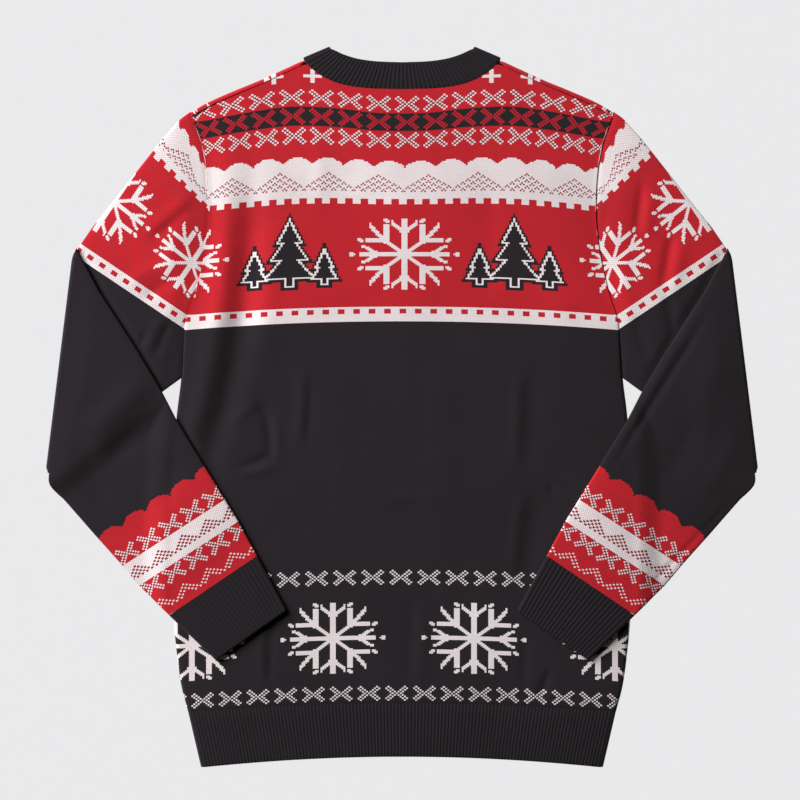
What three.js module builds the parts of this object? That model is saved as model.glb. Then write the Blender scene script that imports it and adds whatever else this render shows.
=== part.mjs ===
import * as THREE from 'three';

// A knitted pullover lying face down, its back upwards and both sleeves folded in at the elbow.
// Millimetres, +Z up, +Y towards the neck. The origin is on the floor under the middle of the garment.
// The garment is the same on both sides of X = 0, so each side is worked out at +X and mirrored.

// Cloth and seams
const CLOTH = 1.8; // wall of the patterned knit
const SEAM = 0.35; // gap between two pieces at a seam
const SEAM_EASE = 0.12; // and a little more where straight faces meet along a curve
const REST = 0.5; // gap between the cloth of a folded sleeve and what it lies on
const RIB_RISE = 0.5; // how far a rib stands out of its wall

const MIDDLE = 1.0; // how far up the body the garment's middle is, in the tables' own heights

// Body
const BODY_EDGE = 4.2; // height of the back panel at its sides
const BODY_LOFT = 1.5; // extra height in the middle, where air is caught between the panels
const SIDE_ROLL = 4.2; // radius in which the back panel rolls down to the floor
const TUCK = 3.9; // how far the front panel's sides lie inside the rolled back panel
const TUCK_LAG = 27; // and how much further up the body they do so
const ROLL_START = 66; // below this height up the body the sides are fully rolled
const ROLL_END = 98; // above it they are cut for the armhole
const SHOULDER_LAP = 4.6; // strip of the front panel that laps over the shoulder on to the back
const BACK_ROWS = 7; // rows of faces of the back panel below the sleeve
const FRONT_ROWS = 3; // the same on the front panel
const ARMHOLE_ROWS = 10; // rows of faces along the sleeve's seam
const ARMHOLE_FOOT = 32; // lowest point up the body where the sleeve meets it

// Half the body's width against the height up the body, from the hem to the top of the armhole
const SIDES = [
  { y: -371, half: 207.2 },
  { y: -332, half: 215.8 },
  { y: -312, half: 220.9 },
  { y: -288, half: 227.2 },
  { y: -260, half: 231.4 },
  { y: -213, half: 235.7 },
  { y: -115, half: 237.0 },
  { y: -13, half: 232.7 },
  { y: 32, half: 227.6 },
  { y: 81, half: 224.6 },
  { y: 97, half: 220.2 },
  { y: 121, half: 212.2 },
  { y: 163, half: 203.1 },
  { y: 208, half: 199.4 },
  { y: 251, half: 202.0 },
  { y: 276, half: 207.4 },
  { y: 296, half: 214.8 },
  { y: 304, half: 217.3 },
];

// The shoulder's outline, from the neck to the top of the armhole
const SHOULDER = [
  { x: 101, y: 358.2 },
  { x: 145, y: 338.0 },
  { x: 170, y: 327.8 },
  { x: 200, y: 314.6 },
  { x: 217.3, y: 304.5 },
];

// The neckband from the middle of the neck to the shoulder: its seam and its free edge
const BACK_NECK = [
  { seamX: 0, seamY: 327.5, edgeX: 0, edgeY: 356.1 },
  { seamX: 38, seamY: 328.8, edgeX: 27, edgeY: 357.2 },
  { seamX: 64, seamY: 333.2, edgeX: 46, edgeY: 359.9 },
  { seamX: 83, seamY: 341.4, edgeX: 60, edgeY: 364.2 },
  { seamX: 95, seamY: 350.6, edgeX: 69, edgeY: 368.3 },
  { seamX: 101, seamY: 358.2, edgeX: 73.3, edgeY: 370.0 },
];
const FRONT_NECK = [
  { seamX: 0, seamY: 271, edgeX: 0, edgeY: 299 },
  { seamX: 38, seamY: 275, edgeX: 28, edgeY: 302.5 },
  { seamX: 64, seamY: 288, edgeX: 46.5, edgeY: 313 },
  { seamX: 83, seamY: 308, edgeX: 60, edgeY: 329 },
  { seamX: 95, seamY: 333, edgeX: 68.5, edgeY: 350 },
  { seamX: 101, seamY: 358.2, edgeX: 73.3, edgeY: 370.0 },
];
const BAND = 2.6; // wall of the doubled rib round the neck
const BAND_ROUND = 0.7; // how much thinner the band is at its folded free edge
const BACK_NECK_RIBS = 50;

// The hem's rib: the height of its seam and of its free edge, and how much lower both lie at the sides
const HEM = { seam: -303.5, seamDrop: 9.5, edge: -358.9, edgeDrop: 11.4 };
const HEM_WALL = 1.9;
const HEM_RIBS = 122;

// Sleeve, laid out from the armhole to the fold at the elbow, and from there over the body to the cuff
const SLEEVE_HOLLOW = 0.4; // gap between the two layers of a sleeve
const SLEEVE = 2 * CLOTH + SLEEVE_HOLLOW; // thickness of a flat sleeve
const FOLD_RADIUS = SLEEVE + SEAM; // from the fold's middle line to its outside
const UPPER_ROWS = 6;
const FOLD_STEPS = 4;
const FOREARM_ROWS = 10;
const EDGE_ROUND = 1.1; // how far a sleeve's side stands out between its two layers
const FALL_START = 5; // beyond what carries it, the forearm starts to come down to the floor
const FALL_END = 32; // and here it has come down

// Outer side of the upper sleeve, from the shoulder to the elbow fold
const UPPER_OUTSIDE = [
  { x: 217.6, y: 304.4 },
  { x: 227.4, y: 297.4 },
  { x: 248.7, y: 273.6 },
  { x: 277.2, y: 237.6 },
  { x: 299.2, y: 209.6 },
  { x: 319.7, y: 184.4 },
  { x: 334.4, y: 163.0 },
];
const FOLD_TOP = { x: 334.4, y: 163.0 };
const FOLD_FOOT = { x: 362.6, y: -66.0 };
// The forearm's two sides, from the fold to the cuff's seam
const FOREARM_INSIDE = [
  { x: 334.4, y: 161.0 },
  { x: 310.6, y: 117.2 },
  { x: 272.8, y: 58.6 },
  { x: 246.6, y: 14.6 },
  { x: 231.6, y: -14.6 },
  { x: 202.9, y: -61.6 },
  { x: 168.8, y: -117.0 },
  { x: 149.6, y: -152.4 },
];
const FOREARM_OUTSIDE = [
  { x: 362.6, y: -66.0 },
  { x: 360.8, y: -79.5 },
  { x: 349.0, y: -94.8 },
  { x: 315.5, y: -130.4 },
  { x: 289.0, y: -159.8 },
  { x: 270.3, y: -182.0 },
  { x: 238.7, y: -212.6 },
];
// The cuff's free edge
const CUFF_END = { inside: { x: 119.4, y: -208.6 }, outside: { x: 190.4, y: -258.6 } };
const CUFF_WALL = 2.0;
const CUFF_INSET = 0.02; // how far the cuff's inside lies in from its sides, as a share of its width
const CUFF_RIBS = 28;

// Soft folds of the cloth: a line on the garment, half its width, and its height, below zero for a trough
const BACK_FOLDS = [
  { fromX: -178, fromY: 214, toX: -166, toY: 96, width: 27, height: -0.9 },
  { fromX: -128, fromY: 206, toX: -120, toY: 40, width: 30, height: 0.8 },
  { fromX: -190, fromY: 70, toX: -184, toY: -60, width: 26, height: 0.9 },
  { fromX: 133, fromY: -60, toX: 126, toY: -230, width: 28, height: -0.8 },
  { fromX: 160, fromY: 150, toX: 172, toY: 10, width: 27, height: 0.9 },
];
const UPPER_FOLDS = [{ fromX: 262, fromY: 226, toX: 252, toY: 110, width: 20, height: 0.6 }];

const INK = 0x262428;
const RED = 0xbe2430;
const jacquard = (color) => new THREE.MeshStandardMaterial({ color, roughness: 0.9, metalness: 0 });

const { lerp, smoothstep } = THREE.MathUtils;
const first = (list) => list[0];
const last = (list) => list[list.length - 1];
const steps = (count) => Array.from({ length: count + 1 }, (_, step) => step);

// Reads a table at a place between its rows, along a smooth curve through them.
function read(table, key, place, value) {
  const upwards = last(table)[key] > first(table)[key];
  const rows = upwards ? table : [...table].reverse();
  const held = THREE.MathUtils.clamp(place, first(rows)[key], last(rows)[key]);
  const i = Math.min(rows.findIndex((row, n) => n > 0 && held <= row[key]), rows.length - 1);
  const [before, a, b, after] = [rows[i - 2] ?? rows[i - 1], rows[i - 1], rows[i], rows[i + 1] ?? rows[i]];
  const span = b[key] - a[key];
  const slopeA = (b[value] - before[value]) / (b[key] - before[key]);
  const slopeB = (after[value] - a[value]) / (after[key] - a[key]);
  const t = (held - a[key]) / span;
  return (
    (2 * t ** 3 - 3 * t ** 2 + 1) * a[value] +
    (t ** 3 - 2 * t ** 2 + t) * span * slopeA +
    (3 * t ** 2 - 2 * t ** 3) * b[value] +
    (t ** 3 - t ** 2) * span * slopeB
  );
}

const halfWidth = (y) => read(SIDES, 'y', y, 'half');
const rolled = (y) => 1 - smoothstep(y, ROLL_START, ROLL_END);

// A point at an equal share of the length of a line through the table's points.
function along(points, share) {
  const line = new THREE.CurvePath();
  for (let i = 1; i < points.length; i += 1) {
    const [a, b] = [points[i - 1], points[i]];
    line.add(new THREE.LineCurve(new THREE.Vector2(a.x, a.y), new THREE.Vector2(b.x, b.y)));
  }
  return line.getPointAt(share);
}

// The height that a list of soft folds adds at a point.
function foldHeight(folds, x, y) {
  return folds.reduce((sum, fold) => {
    const [dx, dy] = [fold.toX - fold.fromX, fold.toY - fold.fromY];
    const length = Math.hypot(dx, dy);
    const share = ((x - fold.fromX) * dx + (y - fold.fromY) * dy) / length ** 2;
    const aside = ((x - fold.fromX) * dy - (y - fold.fromY) * dx) / length;
    const fade = smoothstep(share, -0.15, 0.25) * (1 - smoothstep(share, 0.75, 1.15));
    return sum + fold.height * fade * Math.exp(-((aside / fold.width) ** 2));
  }, 0);
}

// The back panel's upper face: highest in the middle, level with the sleeves at the sides.
function backTop(x, y) {
  const across = Math.min(Math.abs(x) / halfWidth(y), 1);
  const calm = 1 - across ** 4;
  return BODY_EDGE + calm * (BODY_LOFT + foldHeight(BACK_FOLDS, x, y));
}

// Joins two grids of points, the cloth's outer and inner face, into one closed wall.
// Columns run to the right and rows away from the viewer on the outer face. A ring closes on itself.
function wall(outer, inner, columns, rows, ring = false) {
  const width = ring ? columns : columns + 1;
  const count = width * (rows + 1);
  const position = [];
  for (const face of [outer, inner]) {
    for (let row = 0; row <= rows; row += 1) {
      for (let column = 0; column < width; column += 1) position.push(...face(column, row));
    }
  }
  const index = [];
  const at = (side, column, row) => side * count + row * width + (column % width);
  const quad = (a, b, c, d) => index.push(a, b, c, a, c, d);
  for (let row = 0; row < rows; row += 1) {
    for (let column = 0; column < columns; column += 1) {
      quad(at(0, column, row), at(0, column + 1, row), at(0, column + 1, row + 1), at(0, column, row + 1));
      quad(at(1, column, row), at(1, column, row + 1), at(1, column + 1, row + 1), at(1, column + 1, row));
    }
  }
  for (let column = 0; column < columns; column += 1) {
    quad(at(0, column, 0), at(1, column, 0), at(1, column + 1, 0), at(0, column + 1, 0));
    quad(at(0, column, rows), at(0, column + 1, rows), at(1, column + 1, rows), at(1, column, rows));
  }
  for (let row = 0; row < rows && !ring; row += 1) {
    quad(at(0, 0, row), at(0, 0, row + 1), at(1, 0, row + 1), at(1, 0, row));
    quad(at(0, columns, row), at(1, columns, row), at(1, columns, row + 1), at(0, columns, row + 1));
  }
  const geometry = new THREE.BufferGeometry();
  geometry.setAttribute('position', new THREE.Float32BufferAttribute(position, 3));
  geometry.setIndex(index);
  return geometry;
}

// The same piece for the other side of the garment, with its faces still pointing outwards.
function mirrored(geometry) {
  const copy = geometry.clone();
  copy.scale(-1, 1, 1);
  const { array } = copy.index;
  for (let i = 0; i < array.length; i += 3) [array[i], array[i + 1]] = [array[i + 1], array[i]];
  return copy;
}

// Body panels

const WIDTH = last(SIDES).half; // half the width between the tops of the armholes
const HEM_HALF = { seam: 220.6, edge: 207.3 };
const NECK_STEPS = 10;
const SHOULDER_STOPS = [0.57, 0.68, 0.79, 0.9, 1];
const ROLL_ANGLES = [30, 60, 90].map(THREE.MathUtils.degToRad);

const hemSeam = (x) => HEM.seam - HEM.seamDrop * (x / HEM_HALF.seam) ** 2;
const hemEdge = (x) => HEM.edge - HEM.edgeDrop * (x / HEM_HALF.edge) ** 2;
const shoulder = (x) => read(SHOULDER, 'x', x, 'y');

// The neckline's seam, the band's free edge and the way from one to the other, at a share from -1 to 1
// of the way from the middle of the neck to the shoulder.
function neckAt(neck, share) {
  const rows = neck.map((row, i) => ({ ...row, share: i / (neck.length - 1) }));
  const at = (value) => read(rows, 'share', Math.abs(share), value);
  const side = Math.sign(share) || 1;
  const seam = new THREE.Vector2(side * at('seamX'), at('seamY'));
  const edge = new THREE.Vector2(side * at('edgeX'), at('edgeY'));
  return { seam, edge, way: edge.clone().sub(seam).normalize() };
}

// The columns of a panel from the middle to one side: a stop across it and the height it reaches.
function halfColumns(neck, margin) {
  const columns = [];
  for (let i = 0; i <= NECK_STEPS; i += 1) {
    const { seam, way } = neckAt(neck, i / NECK_STEPS);
    const point = seam.addScaledVector(way, -SEAM - SEAM_EASE);
    const head = i < NECK_STEPS ? point.y : shoulder(point.x) - margin;
    columns.push({ stop: point.x / WIDTH, head, laps: false });
  }
  const lapStart = last(columns).stop + SEAM / WIDTH;
  for (const stop of [lapStart, ...SHOULDER_STOPS]) {
    columns.push({ stop, head: shoulder(stop * WIDTH) - margin, laps: true });
  }
  return columns;
}

function bothSides(columns) {
  return [...columns.slice(1).reverse().map((column) => ({ ...column, stop: -column.stop })), ...columns];
}

// How far across a stop lies: straight up the panel in the middle, along its outline at the sides.
function acrossAt(stop, half) {
  return stop * WIDTH + Math.sign(stop) * stop ** 6 * (half - WIDTH);
}

// The heights up a panel's side where its rows of faces meet it. The sleeve's seam uses the same points.
const SIDE_FOOT = hemSeam(HEM_HALF.seam) + SEAM / 2;
const BACK_HEAD = last(SHOULDER).y - SHOULDER_LAP - SEAM;
const SIDE_HEAD = last(SHOULDER).y - SEAM;
const armholeRows = steps(ARMHOLE_ROWS).map((row) => lerp(ARMHOLE_FOOT, BACK_HEAD, row / ARMHOLE_ROWS));
const bodySide = (rows) => [
  ...steps(rows - 1).map((row) => lerp(SIDE_FOOT, ARMHOLE_FOOT, row / rows)),
  ...armholeRows,
];

// A point of the flat part of a panel, in a column and at a height up its side.
function panelPoint({ stop, head }, side, inset) {
  const foot = hemSeam(acrossAt(stop, HEM_HALF.seam - inset(SIDE_FOOT))) + SEAM / 2;
  const y = lerp(foot, head, (side - SIDE_FOOT) / (BACK_HEAD - SIDE_FOOT));
  return { x: acrossAt(stop, halfWidth(y) - inset(y)), y };
}

function backPanel() {
  const cut = bothSides(halfColumns(BACK_NECK, SHOULDER_LAP + SEAM));
  const flat = cut.map((column) => ({ ...column, angle: 0 }));
  const rolls = ROLL_ANGLES.map((angle) => ({ ...last(flat), angle }));
  const columns = [...[...rolls].reverse().map((roll) => ({ ...roll, stop: -1 })), ...flat, ...rolls];
  const sides = bodySide(BACK_ROWS);
  const face = (thickness) => (column, row) => {
    const { stop, angle } = columns[column];
    const { x, y } = panelPoint(columns[column], sides[row], () => SIDE_ROLL);
    const height = backTop(x, y) - thickness;
    const roll = rolled(y);
    const out = lerp(SIDE_ROLL, SIDE_ROLL - thickness, roll) * Math.sin(angle);
    return [x + Math.sign(stop) * out, y, lerp(height, height * Math.cos(angle), roll)];
  };
  return wall(face(0), face(CLOTH), columns.length - 1, sides.length - 1);
}

function frontPanel() {
  // Past its seam with the back panel the front laps over the shoulder, up to the back panel's height.
  const laps = [
    { back: SHOULDER_LAP + 0.1, drop: null },
    { back: SHOULDER_LAP - SEAM, drop: 0 },
    { back: 1.2, drop: 0.5 },
    { back: 0, drop: 1.9 },
  ];
  const columns = bothSides(halfColumns(FRONT_NECK, 0));
  const sides = bodySide(FRONT_ROWS);
  const face = (upper) => (column, row) => {
    const { stop, head, laps: lapping } = columns[column];
    const inset = (y) => TUCK * rolled(y - TUCK_LAG);
    if (row < sides.length - 1) {
      const { x, y } = panelPoint({ stop, head: head - SHOULDER_LAP - SEAM }, sides[row], inset);
      return [x, y, upper ? CLOTH : 0];
    }
    const { back, drop } = laps[row - sides.length + 1];
    const y = head - back;
    const x = acrossAt(stop, halfWidth(y));
    const lifted = lapping && drop !== null;
    const top = lifted ? backTop(x, y) - drop : CLOTH;
    return [x, y, upper ? top : 0];
  };
  return wall(face(true), face(false), columns.length - 1, sides.length - 2 + laps.length);
}

// Ribs: odd columns stand out of the wall and even ones lie in it
const ribRise = (column) => (column % 2 ? RIB_RISE : 0);

function hemBack() {
  const flat = 2 * HEM_RIBS;
  const rollSteps = ROLL_ANGLES.length;
  const columns = flat + 2 * rollSteps;
  const face = (thickness) => (column, row) => {
    const step = THREE.MathUtils.clamp(column - rollSteps, 0, flat);
    const stop = (2 * step) / flat - 1;
    const turn = Math.max(rollSteps - column, column - rollSteps - flat, 0);
    const angle = turn ? ROLL_ANGLES[turn - 1] : 0;
    const x = stop * ((row ? HEM_HALF.seam : HEM_HALF.edge) - SIDE_ROLL);
    const y = row ? hemSeam(x) - SEAM / 2 : hemEdge(x);
    const rise = thickness || turn ? 0 : ribRise(step);
    const height = (backTop(x, y) - thickness + rise) * Math.cos(angle);
    return [x + Math.sign(stop) * (SIDE_ROLL - thickness) * Math.sin(angle), y, height];
  };
  return wall(face(0), face(HEM_WALL), columns, 1);
}

function hemFront() {
  const columns = 20;
  const face = (height) => (column, row) => {
    const stop = (2 * column) / columns - 1;
    const x = stop * ((row ? HEM_HALF.seam : HEM_HALF.edge) - TUCK);
    return [x, row ? hemSeam(x) - SEAM / 2 : hemEdge(x), height];
  };
  return wall(face(CLOTH), face(0), columns, 1);
}

// A ring of doubled rib. Its back half lies over the front half, and it folds at the shoulders.
function neckband() {
  const back = 2 * BACK_NECK_RIBS;
  const front = 2 * NECK_STEPS;
  const turns = [60, 90, 120].map(THREE.MathUtils.degToRad);
  const layer = BAND + SEAM / 2; // from the level between the halves to the band's outside
  const stations = [
    ...steps(back).map((rib) => ({ neck: BACK_NECK, share: (2 * rib) / back - 1, turn: 0, rib })),
    ...turns.map((turn) => ({ neck: BACK_NECK, share: 1, turn })),
    ...steps(front).map((step) => ({ neck: FRONT_NECK, share: 1 - (2 * step) / front, turn: Math.PI })),
    ...[...turns].reverse().map((turn) => ({ neck: BACK_NECK, share: -1, turn })),
  ];
  const rowsUp = [0, 0.94, 1];
  const face = (inside) => (column, row) => {
    const { neck, share, turn, rib = 0 } = stations[column];
    const { seam, edge, way } = neckAt(neck, share);
    const point = seam.lerp(edge, rowsUp[row]);
    const round = row === rowsUp.length - 1 ? BAND_ROUND : 0;
    const depth = inside ? SEAM / 2 + round : layer - round + (round ? 0 : ribRise(rib));
    const side = Math.sign(share) || 1;
    const reach = depth * Math.sin(turn);
    return [point.x + side * way.y * reach, point.y - side * way.x * reach, layer + depth * Math.cos(turn)];
  };
  return wall(face(false), face(true), stations.length, rowsUp.length - 1, true);
}

// Sleeves, worked out at +X

const armhole = [...armholeRows, SIDE_HEAD].reverse().map((y) => ({ x: halfWidth(y) + SEAM + SEAM_EASE, y }));
const acrossShares = armhole.map((_, i) => {
  const lengths = armhole.map((p, n) => (n ? Math.hypot(p.x - armhole[n - 1].x, p.y - armhole[n - 1].y) : 0));
  const total = lengths.reduce((a, b) => a + b, 0);
  return lengths.slice(0, i + 1).reduce((a, b) => a + b, 0) / total;
});
const between = (a, b, share) => ({ x: lerp(a.x, b.x, share), y: lerp(a.y, b.y, share) });
const underarm = last(armhole);
const foldDirection = new THREE.Vector2(FOLD_FOOT.x - FOLD_TOP.x, FOLD_FOOT.y - FOLD_TOP.y).normalize();
const foldOut = { x: -foldDirection.y, y: foldDirection.x };

// How far a point lies past the lower side of the upper sleeve, where nothing carries the forearm.
function pastUpperSleeve(x, y) {
  const side = new THREE.Vector2(FOLD_FOOT.x - underarm.x, FOLD_FOOT.y - underarm.y).normalize();
  return (x - underarm.x) * side.y - (y - underarm.y) * side.x;
}

// The height of what carries the folded forearm: the back panel, the upper sleeve or, beyond both, the floor.
function carried(x, y) {
  const pastBody = x - halfWidth(y);
  const support = (pastBody < 0 ? Math.max(backTop(x, y), backTop(-x, y)) : BODY_EDGE) + REST;
  const beyond = Math.min(pastBody, pastUpperSleeve(x, y));
  return support * (1 - smoothstep(beyond, FALL_START, FALL_END));
}

// A point of the upper sleeve, a share of the way from the armhole to the fold and a column across.
function upperPoint(share, column) {
  const across = acrossShares[column];
  const seam = armhole[column];
  const fold = between(FOLD_TOP, FOLD_FOOT, across);
  const straight = between(seam, fold, share);
  const side = along(UPPER_OUTSIDE, share);
  const chord = between(first(armhole), FOLD_TOP, share);
  return {
    x: straight.x + (side.x - chord.x) * (1 - across),
    y: straight.y + (side.y - chord.y) * (1 - across),
  };
}

function forearmPoint(share, across) {
  return between(along(FOREARM_INSIDE, share), along(FOREARM_OUTSIDE, share), across);
}

// Rows along the sleeve: flat from the armhole, then round the elbow fold, then flat again to the cuff.
const sleeveRows = [
  ...steps(UPPER_ROWS).map((row) => ({ part: 'upper', share: row / UPPER_ROWS })),
  ...steps(FOLD_STEPS - 1).map((row) => ({ part: 'fold', angle: (Math.PI * (row + 1)) / FOLD_STEPS })),
  ...steps(FOREARM_ROWS - 1).map((row) => ({ part: 'forearm', share: (row + 1) / FOREARM_ROWS })),
];

// Columns round the sleeve: over the upper layer, round its lower side, back under it and round its outer
// side.
const layerColumns = acrossShares.map((_, column) => column);
const sleeveColumns = [
  ...layerColumns.map((column) => ({ column, upper: true })),
  { column: last(layerColumns), side: 1 },
  ...[...layerColumns].reverse().map((column) => ({ column, upper: false })),
  { column: 0, side: -1 },
];

function rowPoint({ part, share }, column) {
  const across = acrossShares[column];
  if (part === 'upper') return upperPoint(share, column);
  if (part === 'fold') return between(FOLD_TOP, FOLD_FOOT, across);
  return forearmPoint(share, across);
}

// The way into the sleeve from one of its sides, within a row.
function rowWay(row, column) {
  const inner = column ? column - 1 : 1;
  const [from, to] = [rowPoint(row, column), rowPoint(row, inner)];
  return new THREE.Vector2(to.x - from.x, to.y - from.y).normalize();
}

function sleeve() {
  const face = (inside) => (place, row) => {
    const { column, upper, side = 0 } = sleeveColumns[place];
    const { part, share, angle } = sleeveRows[row];
    const across = acrossShares[column];
    const depth = inside ? CLOTH : 0;
    const flatHeight = upper ? SLEEVE - depth : depth;
    const height = side ? SLEEVE / 2 : flatHeight;
    const point = rowPoint(sleeveRows[row], column);
    // At its two sides the sleeve's wall turns from one layer to the other.
    if (column === 0 || column === last(layerColumns)) {
      const way = rowWay(sleeveRows[row], column);
      const step = (inside ? CLOTH : 0) - (side && !(part === 'upper' && share === 0) ? EDGE_ROUND : 0);
      point.x += step * way.x;
      point.y += step * way.y;
    }
    if (part === 'upper') {
      const calm = 4 * across * (1 - across) * (1 - share) * share * 4;
      const fold = upper && !inside ? foldHeight(UPPER_FOLDS, point.x, point.y) * calm : 0;
      return [point.x, point.y, height + fold];
    }
    if (part === 'fold') {
      const radius = FOLD_RADIUS - height;
      const reach = radius * Math.sin(angle);
      const z = FOLD_RADIUS - radius * Math.cos(angle);
      return [point.x + foldOut.x * reach, point.y + foldOut.y * reach, z];
    }
    const start = FOLD_RADIUS + SEAM;
    const base = lerp(start, carried(point.x, point.y), smoothstep(share, 0, 0.12));
    return [point.x, point.y, base + SLEEVE - height];
  };
  return wall(face(false), face(true), sleeveColumns.length, sleeveRows.length - 1, true);
}

function cuff() {
  const perLayer = 2 * CUFF_RIBS;
  const columns = [
    ...steps(perLayer).map((rib) => ({ across: 1 - rib / perLayer, upper: true, rib })),
    { across: 0, side: -1 },
    ...steps(perLayer).map((rib) => ({ across: rib / perLayer, upper: false, rib })),
    { across: 1, side: 1 },
  ];
  const thickness = 2 * CUFF_WALL + SLEEVE_HOLLOW;
  const seamInside = last(FOREARM_INSIDE);
  const seamOutside = last(FOREARM_OUTSIDE);
  const rows = [0, 1];
  const face = (inside) => (place, row) => {
    const { across, upper, side = 0, rib } = columns[place];
    const inset = inside ? CUFF_INSET : 0;
    const held = THREE.MathUtils.clamp(across, inset, 1 - inset);
    const seam = between(seamInside, seamOutside, held);
    const end = between(CUFF_END.inside, CUFF_END.outside, held);
    const length = Math.hypot(end.x - seam.x, end.y - seam.y);
    const point = between(seam, end, lerp(SEAM / length, 1, rows[row]));
    const width = Math.hypot(seamOutside.x - seamInside.x, seamOutside.y - seamInside.y);
    const out = side && !inside ? (side * EDGE_ROUND) / width : 0;
    const base = carried(point.x, point.y);
    const depth = inside ? CUFF_WALL : 0;
    const rise = inside || side ? 0 : ribRise(rib);
    const height = side ? thickness / 2 : upper ? thickness - depth + rise : depth;
    return [
      point.x + out * (seamOutside.x - seamInside.x),
      point.y + out * (seamOutside.y - seamInside.y),
      base + height,
    ];
  };
  return wall(face(false), face(true), columns.length, rows.length - 1, true);
}

const group = new THREE.Group();
function add(name, geometry, color) {
  const mesh = new THREE.Mesh(geometry, jacquard(color));
  mesh.name = name;
  group.add(mesh);
}

add('front_panel', frontPanel(), RED);
add('back_panel', backPanel(), RED);
add('front_hem', hemFront(), INK);
add('back_hem', hemBack(), INK);
add('neckband', neckband(), INK);
const sleeveShape = sleeve();
const cuffShape = cuff();
add('sleeve_right', sleeveShape, INK);
add('sleeve_left', mirrored(sleeveShape), INK);
add('cuff_right', cuffShape, INK);
add('cuff_left', mirrored(cuffShape), INK);

// The tables' zero lies a little above the middle of the garment's length.
group.position.y = -MIDDLE;

export default group;
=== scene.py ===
import math

import bpy
import numpy as np
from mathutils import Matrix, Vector


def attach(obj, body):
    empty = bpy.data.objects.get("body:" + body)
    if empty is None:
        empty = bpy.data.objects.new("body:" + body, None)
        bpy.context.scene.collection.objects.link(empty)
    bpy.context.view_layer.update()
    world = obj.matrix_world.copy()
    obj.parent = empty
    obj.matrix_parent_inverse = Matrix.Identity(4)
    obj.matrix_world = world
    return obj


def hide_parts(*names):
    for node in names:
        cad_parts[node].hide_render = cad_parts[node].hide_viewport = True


bl_info = {
    "name": "Christmas Sweater",
    "version": (1, 0, 0),
    "blender": (4, 5, 0),
    "location": "View3D > Sidebar > Sweater",
    "description": "Knitted pullover with snowflakes, laid face down with its sleeves folded in",
    "category": "Add Mesh",
}

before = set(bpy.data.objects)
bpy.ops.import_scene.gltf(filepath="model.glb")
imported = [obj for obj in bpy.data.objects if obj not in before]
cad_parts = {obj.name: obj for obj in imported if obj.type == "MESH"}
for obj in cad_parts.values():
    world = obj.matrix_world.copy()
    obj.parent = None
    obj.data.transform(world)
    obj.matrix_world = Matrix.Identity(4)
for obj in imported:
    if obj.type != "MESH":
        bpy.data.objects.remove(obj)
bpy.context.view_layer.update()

# Lengths below are in millimetres. +Y runs up the body to the neck and +Z away from the floor.
MM = 0.001
MIDDLE = 1.0  # how far up the body the garment's middle is, in the tables' own heights

# Cloth, seams and ribs
CLOTH = 1.8
SEAM = 0.35
REST = 0.5
SEAM_OVERLAP = 0.5  # how far one piece reaches under the next at a seam
SEAM_DIP, SEAM_REACH = 0.9, 1.7  # depth and width of the groove that a seam draws in the cloth
RIB_RISE = 0.26
RIB_COLUMNS = 8  # columns of faces across one rib

# Body
BODY_EDGE = 4.2
BODY_LOFT = 2.4
LOFT_POWER, CREASE_POWER = 8, 20  # the higher, the nearer to the sides the loft and the creases reach
SIDE_ROLL = 4.2
TUCK = 3.9
TUCK_LAG = 27
ROLL_START = 66
ROLL_END = 98
SHOULDER_LAP = 4.6

# Height up the body, and half its width there
SIDES = [
    (-371, 207.2),
    (-332, 215.8),
    (-312, 220.9),
    (-288, 227.2),
    (-260, 231.4),
    (-213, 235.7),
    (-115, 237.0),
    (-13, 232.7),
    (32, 227.6),
    (81, 224.6),
    (97, 220.2),
    (121, 212.2),
    (163, 203.1),
    (208, 199.4),
    (251, 202.0),
    (276, 207.4),
    (296, 214.8),
    (304, 217.3),
]

# The shoulder's outline, x and y from the neck to the top of the armhole
SHOULDER = [(101, 358.2), (145, 338.0), (170, 327.8), (200, 314.6), (217.3, 304.5)]

# The neckband from the middle to the shoulder: x and y of its seam, then of its free edge
BACK_NECK = [
    (0, 327.5, 0, 356.1),
    (38, 328.8, 27, 357.2),
    (64, 333.2, 46, 359.9),
    (83, 341.4, 60, 364.2),
    (95, 350.6, 69, 368.3),
    (101, 358.2, 73.3, 370.0),
]
FRONT_NECK = [
    (0, 271, 0, 299),
    (38, 275, 28, 302.5),
    (64, 288, 46.5, 313),
    (83, 308, 60, 329),
    (95, 333, 68.5, 350),
    (101, 358.2, 73.3, 370.0),
]
BAND = 2.6
NECK_RIBS = 45

# The hem's seam and free edge: height up the body, and how much lower each lies at the sides
HEM_SEAM, HEM_SEAM_DROP, HEM_SEAM_HALF = -303.5, 9.5, 220.6
HEM_EDGE, HEM_EDGE_DROP, HEM_EDGE_HALF = -358.9, 11.4, 207.3
HEM_WALL = 1.9
HEM_RIBS = 122

# Sleeve
SLEEVE_HOLLOW = 0.4
SLEEVE = 2 * CLOTH + SLEEVE_HOLLOW
FOLD_RADIUS = SLEEVE + SEAM
EDGE_ROUND = 1.1
FALL_START = 5
FALL_END = 32
ARMHOLE_FOOT = 32

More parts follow.
